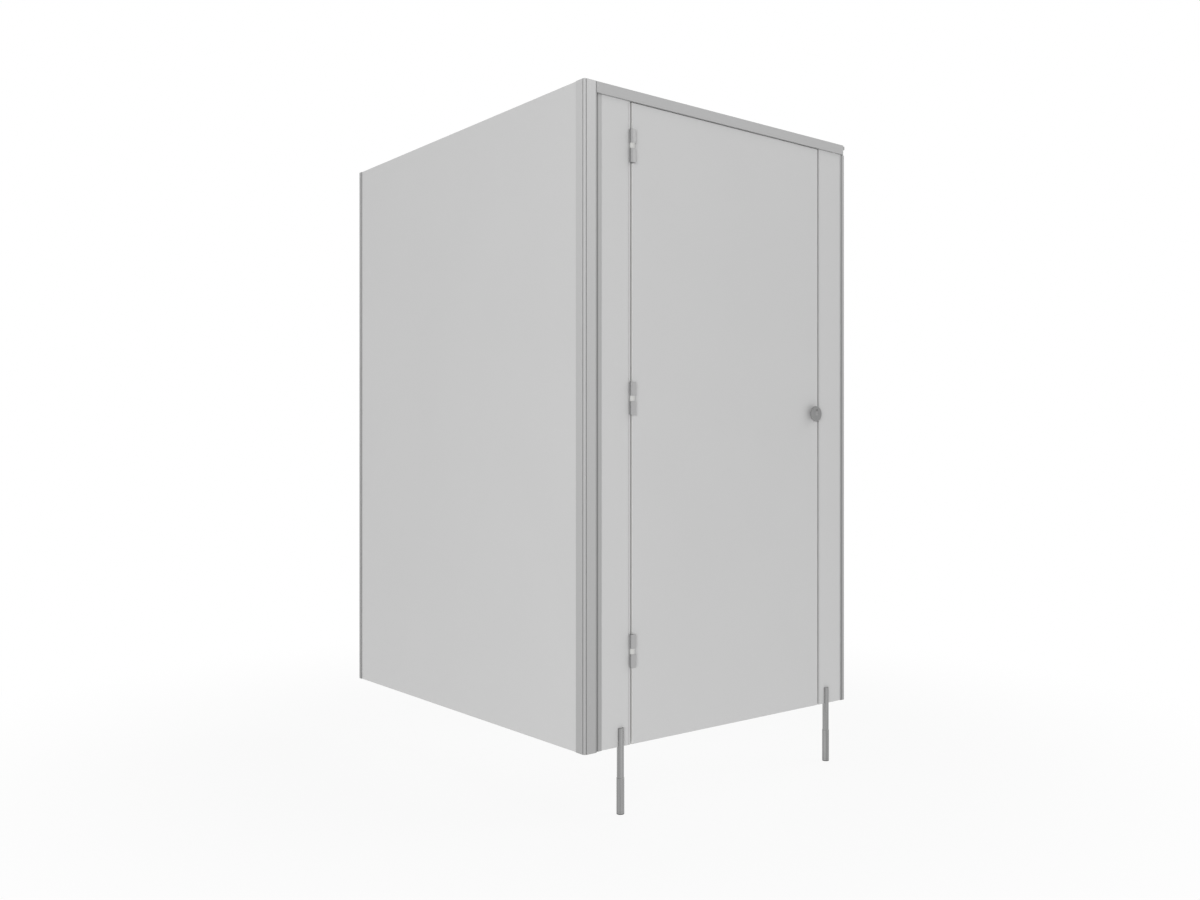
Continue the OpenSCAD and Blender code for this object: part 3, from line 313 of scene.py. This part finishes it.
def white_world(ambient):
    """A world that lights the object at the ambient strength and is pure white where it is seen."""
    world = bpy.data.worlds.new("white studio")
    world.use_nodes = True
    tree = world.node_tree
    tree.nodes.clear()
    level = add(tree, "ShaderNodeMapRange", {
        "Value": seen_directly(tree), "To Min": ambient, "To Max": 1.0})
    light = add(tree, "ShaderNodeBackground", {"Color": (1, 1, 1, 1), "Strength": level})
    add(tree, "ShaderNodeOutputWorld", {"Surface": light})
    return world


def dress(piece, material):
    """Gives a piece or a CAD node one material."""
    piece.data.materials.clear()
    piece.data.materials.append(material)


# ---------------------------------------------------------------- meshes

def linked(name, data):
    """A new object in the scene, from a mesh, a camera or a lamp."""
    made = bpy.data.objects.new(name, data)
    bpy.context.scene.collection.objects.link(made)
    return made


def merged(mesh, distance):
    """A bmesh of the mesh, with doubles nearer than the distance merged."""
    work = bmesh.new()
    work.from_mesh(mesh)
    bmesh.ops.remove_doubles(work, verts=work.verts, dist=distance)
    return work


def write_smooth(work, mesh):
    """Writes the bmesh to the mesh, with normals outwards and all but its sharp edges smooth."""
    bmesh.ops.recalc_face_normals(work, faces=work.faces)
    work.to_mesh(mesh)
    work.free()
    mesh.shade_smooth()
    mesh.set_sharp_from_angle(angle=SHARP)


def mesh_piece(name, points, faces, body):
    """An object from an array of points and a list of faces, in place."""
    mesh = bpy.data.meshes.new(name)
    mesh.from_pydata(points.tolist(), [], faces)
    work = merged(mesh, MERGE_MADE)
    bmesh.ops.dissolve_degenerate(work, edges=work.edges, dist=NO_LENGTH)
    write_smooth(work, mesh)
    piece = linked(name, mesh)
    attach(piece, body)
    return piece


def grid_faces(rows, columns, wrap_rows, wrap_columns):
    """Quads of a grid of points, as a list: each joins a point with the next in its row and its
    column."""
    r = np.arange(rows if wrap_rows else rows - 1)[:, None]
    c = np.arange(columns if wrap_columns else columns - 1)[None, :]
    r1, c1 = (r + 1) % rows, (c + 1) % columns
    return np.stack([r * columns + c, r * columns + c1, r1 * columns + c1, r1 * columns + c],
                    axis=-1).reshape(-1, 4).tolist()


def revolve(profile, centre, axis, segments, closed):
    """Surface of revolution: the point of a profile row (radius, height) at an angle lies at
    centre + radius * (cos * u + sin * v) + height * axis, with u and v square to the axis.
    A closed profile makes a ring, and an open one a surface between its two ends."""
    profile = np.asarray(profile, float)
    w = np.array(axis, float)
    u = np.roll(w, 1)
    v = np.cross(w, u)
    turn = np.linspace(0, 2 * np.pi, segments, endpoint=False)
    ring = np.cos(turn)[:, None] * u + np.sin(turn)[:, None] * v
    points = (np.array(centre) + profile[:, None, :1] * ring[None]
              + profile[:, None, 1:] * w).reshape(-1, 3)
    return points, grid_faces(len(profile), segments, closed, True)


def arc(centre, radius, start_deg, end_deg, steps):
    """Points of a circular arc in a (radius, height) plane."""
    t = np.radians(np.linspace(start_deg, end_deg, steps))
    return np.array(centre) + radius * np.stack([np.cos(t), np.sin(t)], axis=-1)


def rounded_copy(node, body, width):
    """A copy of a CAD solid with its doubles merged and its flat faces joined, whose sharp edges
    get a round of the given width. It stands for the node."""
    mesh = frame["nodes"][node].data.copy()
    work = merged(mesh, MERGE_CAD)
    bmesh.ops.dissolve_limit(work, angle_limit=FLAT, verts=work.verts, edges=work.edges)
    write_smooth(work, mesh)
    piece = linked(f"{node}_rounded", mesh)
    edge = piece.modifiers.new("broken edges", "BEVEL")
    edge.width, edge.segments = width, 2
    edge.limit_method, edge.angle_limit = "ANGLE", SHARP
    edge.harden_normals = True
    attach(piece, body)
    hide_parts(node)
    return piece


def solids(node):
    """The separate solids of a CAD node, as arrays of points: each point takes the lowest label
    among its neighbours on an edge until nothing changes."""
    work = merged(frame["nodes"][node].data, MERGE_CAD)
    mesh = bpy.data.meshes.new("joined")
    work.to_mesh(mesh)
    work.free()
    points = np.zeros(len(mesh.vertices) * 3)
    mesh.vertices.foreach_get("co", points)
    points = points.reshape(-1, 3)
    ends = np.zeros(len(mesh.edges) * 2, int)
    mesh.edges.foreach_get("vertices", ends)
    ends = ends.reshape(-1, 2)
    bpy.data.meshes.remove(mesh)
    label = np.arange(len(points))
    while True:
        lowest = label.copy()
        for side in (0, 1):
            np.minimum.at(lowest, ends[:, side], label[ends[:, 1 - side]])
        lowest = lowest[lowest]
        if (lowest == label).all():
            return [points[label == k] for k in np.unique(label)]
        label = lowest


# ---------------------------------------------------------------- pieces

def screw_points(solid, segments=24):
    """One screw, as a grid of angle by step along its outline. The outline runs from the middle
    of a hexagon socket, out over a domed head and down the shank to a blunt tip. A hexagon's
    radius at an angle is its corner radius times cos 30 over cos of the angle from its flat."""
    low, high = solid.min(0), solid.max(0)
    along = int(np.argmax(high - low))
    middle = (low + high) / 2
    from_axis = np.linalg.norm(np.delete(solid - middle, along, axis=1), axis=1)
    head_r = from_axis.max()
    head = solid[from_axis > 0.98 * head_r, along]
    outward = 1.0 if abs(head.max() - high[along]) < FLUSH else -1.0
    head_h = head.max() - head.min()
    seat = head.min() if outward > 0 else head.max()
    length = high[along] - low[along] - head_h
    shank = from_axis[np.abs(solid[:, along] - (seat - outward * length)) < FLUSH].max()
    turn = np.linspace(0, 2 * np.pi, segments, endpoint=False)
    hexagon = math.cos(math.pi / 6) / np.cos(turn % (math.pi / 3) - math.pi / 6)
    circle = np.ones(segments)
    socket, socket_floor = 0.72 * shank, 0.4 * head_h
    dome = np.radians(np.linspace(75, 0, 5))
    rows = [(0.0, socket_floor, hexagon), (socket, socket_floor, hexagon),
            (socket, 0.96 * head_h, hexagon), (1.12 * socket, head_h, circle)]
    rows += [(head_r * math.cos(t) ** 0.7, head_h * (0.3 + 0.7 * math.sin(t)), circle)
             for t in dome]
    rows += [(head_r, 0.08 * head_h, circle), (0.97 * head_r, 0.0, circle),
             (shank, 0.0, circle), (shank, -length + shank, circle),
             (0.4 * shank, -length, circle), (0.0, -length, circle)]
    radius = np.stack([r * form for r, _, form in rows])
    height = np.array([h for _, h, _ in rows])
    points = np.zeros((len(rows), segments, 3))
    side = [i for i in range(3) if i != along]
    points[..., side[0]] = middle[side[0]] + radius * np.cos(turn)
    points[..., side[1]] = middle[side[1]] + radius * np.sin(turn)
    points[..., along] = seat + outward * height[:, None]
    return points.reshape(-1, 3), grid_faces(len(rows), segments, False, True)


def seal_points(solid, steps=14):
    """One run of door seal: a D-shaped section, flat on the stop's lip and round towards the
    door, carried straight up. The round side is half an ellipse on short straight flanks."""
    low, high = solid.min(0), solid.max(0)
    half, depth = (high[X] - low[X]) / 2, high[Y] - low[Y]
    t = np.linspace(0, np.pi, steps)
    foot = 0.35 * depth
    section = np.concatenate([
        [[half, 0.0]],
        np.stack([0.9 * half * np.cos(t), foot + (depth - foot) * np.sin(t)], axis=-1),
        [[-half, 0.0]]])
    heights = np.array([low[Z], high[Z]])
    points = np.zeros((2, len(section), 3))
    points[..., X] = (low[X] + high[X]) / 2 + section[:, 0]
    points[..., Y] = high[Y] - section[:, 1]
    points[..., Z] = heights[:, None]
    faces = grid_faces(2, len(section), False, True)
    faces += [list(range(len(section))), list(range(len(section), 2 * len(section)))]
    return points.reshape(-1, 3), faces


def joined(parts):
    """Puts several (points, faces) pairs into one, each with its own numbering."""
    points, faces, start = [], [], 0
    for p, f in parts:
        points.append(p)
        faces += [[i + start for i in face] for face in f]
        start += len(p)
    return np.concatenate(points), faces


# ---------------------------------------------------------------- settings

# settings of drawn_metal that several materials share
DIE_LINES = {"roughness": 0.4, "line_mm": 1.5, "depth_mm": 0.01}
ANODISED = {"spread": 0.03, "metal": 0.5, **DIE_LINES}
GROUND = {"roughness": 0.34, "line_mm": 1.0, "spread": 0.04, "depth_mm": 0.01}

SENSOR = 36.0               # mm: width of the camera's sensor
LENS_SHIFT = 0.0014         # camera's upward shift, as a share of the picture's width
FLOOR_RINGS = (0.0, 1.0, 2.0, 4.0, 8.0, 16.0)    # metres
FLOOR_Z = -0.2 * MM         # the soles stand at 0
SOFTBOX_SIZE = (6.0, 3.6)   # metres
SOFTBOX_AWAY, SOFTBOX_Z = 14.0, 1.9    # metres: distance from the object's middle, and height


def colour_setting(name, description, hex_colour):
    return bpy.props.FloatVectorProperty(
        name=name, description=description, subtype="COLOR", size=4, min=0.0, max=1.0,
        default=linear(hex_colour))


class CubicleColours(bpy.types.PropertyGroup):
    """Colours of the cubicle's materials."""
    laminate: colour_setting("Laminate", "Decor face of the panels", "#C5C5C5")
    core: colour_setting("Core", "Cut edge of the panels", "#D0D0CE")
    post: colour_setting("Post", "Anodised corner post at its top", "#BEBEBE")
    profile: colour_setting("Profiles", "Anodised channels and rail", "#ABABAB")
    stop: colour_setting("Stops", "Stop profiles beside the door", "#BEBEBE")
    connector: colour_setting("Connectors", "Rail connectors", "#9A9A9A")
    hinge: colour_setting("Hinges", "Hinge leaves and keep", "#ABABAB")
    knob: colour_setting("Knob", "Knob outside", "#838383")
    lock: colour_setting("Lock", "Lock parts inside", "#9A9A9A")
    leg: colour_setting("Legs", "Legs and feet", "#989898")
    screw: colour_setting("Screws", "Screws and pins", "#A0A09E")
    sleeve: colour_setting("Sleeves", "Hinge sleeves", "#C2C2C0")
    plug: colour_setting("Plugs", "Plugs in the post's ends", "#949494")
    seal: colour_setting("Seals", "Door seals", "#A4A4A4")
    rubber: colour_setting("Rubber", "Soles of the feet", "#343434")
    disc: colour_setting("Disc", "Indicator disc", "#6E6E6E")
    flag: colour_setting("Flag", "Occupied mark of the indicator", "#A5352D")


class CubicleSizes(bpy.types.PropertyGroup):
    """Small sizes that only the looks have."""
    hinge_round: bpy.props.FloatProperty(
        name="Hinge edges", description="Round on the hinges' edges", default=0.5 * MM,
        min=0.1 * MM, max=1 * MM, unit="LENGTH", precision=4)
    lock_round: bpy.props.FloatProperty(
        name="Lock edges", description="Round on the lock parts' edges", default=0.4 * MM,
        min=0.1 * MM, max=1 * MM, unit="LENGTH", precision=4)
    knob_fillet: bpy.props.FloatProperty(
        name="Knob fillet", description="Hollow between the knob's neck and head",
        default=3 * MM, min=1 * MM, max=5 * MM, unit="LENGTH", precision=4)


class CubicleStage(bpy.types.PropertyGroup):
    """Camera, floor and light."""
    camera_at: bpy.props.FloatVectorProperty(
        name="Camera", description="Place of the camera", default=(-2.3884, -3.0354, 0.9983),
        subtype="TRANSLATION", unit="LENGTH")
    camera_turn: bpy.props.FloatProperty(
        name="Turn", description="Camera's turn from the front towards the side wall",
        default=math.radians(38.585), subtype="ANGLE", unit="ROTATION")
    lens: bpy.props.FloatProperty(
        name="Lens", description="Focal length on a 36 mm sensor", default=33.77, unit="CAMERA")
    floor_colour: colour_setting("Floor", "Studio floor", "#F6F6F6")
    ambient: bpy.props.FloatProperty(
        name="Ambient", description="Strength of the light from all round", default=0.34, min=0)
    key: bpy.props.FloatProperty(
        name="Key", description="Strength of the soft lamp from the upper right", default=0.48,
        min=0)
    fill: bpy.props.FloatProperty(
        name="Fill", description="Power of the softbox behind the camera", default=990.0, min=0,
        unit="POWER")
    back: bpy.props.FloatProperty(
        name="Back", description="Power of the softbox on the inside", default=800.0, min=0,
        unit="POWER")


# ---------------------------------------------------------------- operators

class CUBICLE_OT_stage(bpy.types.Operator):
    """Sets the camera at the photo's view, a plain pale floor, a white world and soft lamps"""
    bl_idname = "cubicle.stage"
    bl_label = "Stage"

    def execute(self, context):
        scene, stage = context.scene, context.scene.cubicle_stage
        scene.view_settings.view_transform = "Standard"
        camera = linked("camera", bpy.data.cameras.new("camera"))
        camera.location = stage.camera_at
        camera.rotation_euler = (math.radians(90), 0, -stage.camera_turn)
        camera.data.lens, camera.data.sensor_width = stage.lens, SENSOR
        camera.data.shift_y = LENS_SHIFT
        scene.camera = camera
        points, faces = revolve([(radius, 0.0) for radius in FLOOR_RINGS], (0, 0, FLOOR_Z),
                                (0, 0, 1), 48, False)
        mesh = bpy.data.meshes.new("floor")
        mesh.from_pydata(points.tolist(), [], faces)
        floor = linked("floor", mesh)
        dress(floor, floor_paint(stage.floor_colour))
        key = linked("key", bpy.data.lights.new("key", "SUN"))
        key.data.energy, key.data.angle = stage.key, math.radians(35)
        key.rotation_euler = (math.radians(52), 0, math.radians(62))
        for name, power, turn in (("fill", stage.fill, math.radians(-50)),
                                  ("back", stage.back, math.radians(130))):
            box = linked(name, bpy.data.lights.new(name, "AREA"))
            box.data.energy, box.data.shape = power, "RECTANGLE"
            box.data.size, box.data.size_y = SOFTBOX_SIZE
            box.location = (SOFTBOX_AWAY * math.sin(turn), -SOFTBOX_AWAY * math.cos(turn),
                            SOFTBOX_Z)
            box.rotation_euler = (math.radians(90), 0, turn)
            box.visible_glossy = False
        scene.world = white_world(stage.ambient)
        return {"FINISHED"}


class CUBICLE_OT_panels(bpy.types.Operator):
    """Gives the side wall, the pilasters and the door their compact laminate"""
    bl_idname = "cubicle.panels"
    bl_label = "Panels"

    def execute(self, context):
        paint = context.scene.cubicle_colours
        for name, across, nodes in (("compact laminate, side wall", X, PANELS[:1]),
                                    ("compact laminate, front", Y, PANELS[1:])):
            low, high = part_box(nodes[0])
            material = compact_laminate(name, paint.laminate, paint.core, across,
                                        low[across], high[across])
            for node in nodes:
                dress(frame["nodes"][node], material)
        return {"FINISHED"}


class CUBICLE_OT_profiles(bpy.types.Operator):
    """Gives the post, channels, stops, rail and their caps and connectors their finishes"""
    bl_idname = "cubicle.profiles"
    bl_label = "Profiles"

    def execute(self, context):
        paint = context.scene.cubicle_colours
        # corners of the outlines, about which the grooves get painted shade: the post's rounded
        # nose, and the channels' outer faces
        nose, face, far = 8 * MM, 5 * MM, -10.0
        post_x, post_y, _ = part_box("corner_post")[0]
        front_y, back_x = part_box("left_pilaster_channel")[0].y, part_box("back_wall_channel")[0].x
        # the post and the channels get a painted reflection that makes them darker towards the
        # bottom
        post = drawn_metal("anodised aluminium, post", paint.post, Z, **ANODISED, painted_reflection_fade=0.75,
                           painted_groove_shade=((post_x + nose, post_y + nose, 0.0), nose, 0.7))
        front = drawn_metal("anodised aluminium, front channels", paint.profile, Z, **ANODISED,
                            painted_reflection_fade=0.88, painted_groove_shade=((far, front_y + face, 0.0), face, 0.6))
        back = drawn_metal("anodised aluminium, back channel", paint.profile, Z, **ANODISED,
                           painted_reflection_fade=0.88, painted_groove_shade=((back_x + face, far, 0.0), face, 0.6))
        level = drawn_metal("anodised aluminium, level", paint.profile, X, **ANODISED)
        stop = drawn_metal("anodised aluminium, stops", paint.stop, Z, **DIE_LINES, spread=0.02,
                           metal=0.2)
        mill = drawn_metal("mill-finish aluminium", paint.connector, X, roughness=0.45,
                           line_mm=1.2, spread=0.05, depth_mm=0.02)
        cap = moulded_plastic("moulded polythene", paint.plug, roughness=0.5, grain_mm=0.8,
                              mottle=0.03)
        for material, nodes in ((post, ("corner_post",)), (back, ("back_wall_channel",)),
                                (front, ("left_pilaster_channel", "right_wall_channel")),
                                (stop, ("hinge_side_stop", "lock_side_stop")),
                                (level, ("top_rail", "rail_cover_strip"))):
            for node in nodes:
                dress(frame["nodes"][node], material)
        for node in ("rail_post_connector", "rail_wall_connector"):
            dress(frame["nodes"][node], mill)
        for node in ("post_top_plug", "post_bottom_plug"):
            dress(frame["nodes"][node], cap)
        return {"FINISHED"}


class CUBICLE_OT_seals(bpy.types.Operator):
    """Makes the D-shaped rubber seals on the stop lips"""
    bl_idname = "cubicle.seals"
    bl_label = "Door seals"

    def execute(self, context):
        rubber = moulded_plastic("moulded rubber, seals", context.scene.cubicle_colours.seal,
                                 roughness=0.75, grain_mm=0.8, mottle=0.08, level=0.35)
        for node in ("hinge_side_seal", "lock_side_seal"):
            points, faces = joined([seal_points(s) for s in solids(node)])
            piece = mesh_piece(f"{node}_bulb", points, faces, "frame")
            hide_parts(node)
            dress(piece, rubber)
        return {"FINISHED"}


class CUBICLE_OT_hinges(bpy.types.Operator):
    """Makes the hinges' leaves and sleeves with broken edges, and dresses their pins"""
    bl_idname = "cubicle.hinges"
    bl_label = "Hinges"

    def execute(self, context):
        paint, sizes = context.scene.cubicle_colours, context.scene.cubicle_sizes
        steel = drawn_metal("ground stainless steel, hinges", paint.hinge, Z, **GROUND)
        nylon = moulded_plastic("moulded nylon", paint.sleeve, roughness=0.42, grain_mm=0.8,
                                mottle=0.02)
        pin = drawn_metal("ground steel pin", paint.screw, Z, roughness=0.25, line_mm=0.8,
                          spread=0.03, depth_mm=0.005)
        for hinge in HINGES:
            for node, body, material, slot in (
                    (f"{hinge}_door_leaf", "door", steel, "hinge_steel"),
                    (f"{hinge}_frame_leaf", "frame", steel, "hinge_steel"),
                    (f"{hinge}_sleeve", "frame", nylon, "nylon")):
                piece = rounded_copy(node, body, sizes.hinge_round)
                dress(piece, material)
            dress(frame["nodes"][f"{hinge}_pin"], pin)
        return {"FINISHED"}


class CUBICLE_OT_knob(bpy.types.Operator):
    """Makes the mushroom knob: a moulded head that runs into its neck in a hollow, and its cap"""
    bl_idname = "cubicle.knob"
    bl_label = "Knob"

    def execute(self, context):
        paint, sizes = context.scene.cubicle_colours, context.scene.cubicle_sizes
        head_low, head_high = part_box("knob_head")
        neck_low, neck_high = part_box("knob_neck")
        centre = (head_low + head_high) / 2
        nylon = moulded_plastic("moulded nylon, knob", paint.knob, roughness=0.4, grain_mm=0.8,
                                mottle=0.03)
        head_r, neck_r = (head_high.x - head_low.x) / 2, (neck_high.x - neck_low.x) / 2
        front, back, door = head_low.y, head_high.y, neck_high.y
        bore, edge, chamfer, hollow = 3.05 * MM, 0.2 * MM, 0.4 * MM, sizes.knob_fillet
        rim = back - front - edge
        # outline as (radius, Y): head front, rim, head back, hollow into the neck, foot, bore
        outline = np.concatenate([
            [[bore, front], [head_r - edge, front]],
            arc((head_r - rim, back - rim), rim, 0, 90, 7),
            arc((neck_r + hollow, back + hollow), hollow, 270, 180, 9),
            [[neck_r, door - chamfer], [neck_r - chamfer, door], [bore, door]]])
        points, faces = revolve(outline, (centre.x, 0, centre.z), (0, 1, 0), 64, True)
        body = mesh_piece("knob_body", points, faces, "door")
        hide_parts("knob_head", "knob_neck")
        cap = rounded_copy("knob_cap", "door", sizes.lock_round)
        for piece in (body, cap):
            dress(piece, nylon)
        return {"FINISHED"}


class CUBICLE_OT_lock(bpy.types.Operator):
    """Makes the lock's inside parts and the keep with broken edges, and dresses the indicator"""
    bl_idname = "cubicle.lock"
    bl_label = "Lock"

    def execute(self, context):
        paint, sizes = context.scene.cubicle_colours, context.scene.cubicle_sizes
        low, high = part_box("knob_cap")
        turned = turned_steel("turned stainless steel, lock", paint.lock, roughness=0.34,
                              centre=(low + high) / 2)
        ground = drawn_metal("ground stainless steel, latch", paint.lock, Z, **GROUND)
        for node, body, material in (
                ("lock_rose", "door", turned), ("inside_turn", "lock_turn", turned),
                ("latch_bar", "lock_turn", ground), ("latch_keep", "frame", ground),
                ("lock_spindle", "lock_turn", turned)):
            piece = rounded_copy(node, body, sizes.lock_round)
            dress(piece, material)
        for node, name, colour, roughness in (
                ("indicator_disc", "moulded ABS, grey", paint.disc, 0.4),
                ("indicator_flag", "moulded ABS, red", paint.flag, 0.25)):
            dress(frame["nodes"][node],
                  moulded_plastic(name, colour, roughness, grain_mm=0.6, mottle=0.02))
        return {"FINISHED"}


class CUBICLE_OT_legs(bpy.types.Operator):
    """Dresses the legs and their feet"""
    bl_idname = "cubicle.legs"
    bl_label = "Legs"

    def execute(self, context):
        paint, sizes = context.scene.cubicle_colours, context.scene.cubicle_sizes
        # grinding lines with a spread of 0.55 on 4 mm: their light and dark stripes are also
        # painted reflections running down the legs
        steel = drawn_metal("ground stainless steel, legs", paint.leg, Z, roughness=0.24,
                            line_mm=4.0, spread=0.55, depth_mm=0.02)
        rubber = moulded_plastic("moulded rubber, soles", paint.rubber, roughness=0.75,
                                 grain_mm=0.8, mottle=0.08)
        for side in ("left", "right"):
            for node, body in ((f"{side}_leg", "frame"), (f"{side}_foot_sleeve", f"{side}_foot"),
                               (f"{side}_foot_spindle", f"{side}_foot")):
                piece = rounded_copy(node, body, sizes.lock_round)
                dress(piece, steel)
            dress(frame["nodes"][f"{side}_foot_sole"], rubber)
        return {"FINISHED"}


class CUBICLE_OT_screws(bpy.types.Operator):
    """Makes every screw with a domed head and a hexagon socket"""
    bl_idname = "cubicle.screws"
    bl_label = "Screws"

    def execute(self, context):
        steel = drawn_metal("zinc-plated steel", context.scene.cubicle_colours.screw, Z,
                            roughness=0.3, line_mm=0.8, spread=0.04, depth_mm=0.005)
        for node in SCREW_NODES:
            points, faces = joined([screw_points(s) for s in solids(node)])
            body = frame["nodes"][node]["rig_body"]
            piece = mesh_piece(f"{node}_domed", points, faces, body)
            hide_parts(node)
            dress(piece, steel)
        return {"FINISHED"}


class CUBICLE_PT_sidebar(bpy.types.Panel):
    """Lists the cubicle's settings and steps"""
    bl_idname = "CUBICLE_PT_sidebar"
    bl_label = "Toilet cubicle"
    bl_space_type = "VIEW_3D"
    bl_region_type = "UI"
    bl_category = "Cubicle"

    def draw(self, context):
        for step in STEPS:
            self.layout.operator(step.bl_idname)
        for title, group in (("Colours", context.scene.cubicle_colours),
                             ("Sizes", context.scene.cubicle_sizes),
                             ("Stage", context.scene.cubicle_stage)):
            box = self.layout.box()
            box.label(text=title)
            for key in group.__annotations__:
                box.prop(group, key)


GROUPS = {"cubicle_colours": CubicleColours, "cubicle_sizes": CubicleSizes,
          "cubicle_stage": CubicleStage}
STEPS = (CUBICLE_OT_stage, CUBICLE_OT_panels, CUBICLE_OT_profiles, CUBICLE_OT_seals,
         CUBICLE_OT_hinges, CUBICLE_OT_knob, CUBICLE_OT_lock, CUBICLE_OT_legs, CUBICLE_OT_screws)


def register():
    for kind in (*GROUPS.values(), *STEPS, CUBICLE_PT_sidebar):
        bpy.utils.register_class(kind)
    for name, group in GROUPS.items():
        setattr(bpy.types.Scene, name, bpy.props.PointerProperty(type=group))


def unregister():
    for name in GROUPS:
        delattr(bpy.types.Scene, name)
    for kind in reversed((*GROUPS.values(), *STEPS, CUBICLE_PT_sidebar)):
        bpy.utils.unregister_class(kind)


def main():
    register()
    for step in STEPS:
        group, name = step.bl_idname.split(".")
        getattr(getattr(bpy.ops, group), name)()


if __name__ == "__main__":
    main()
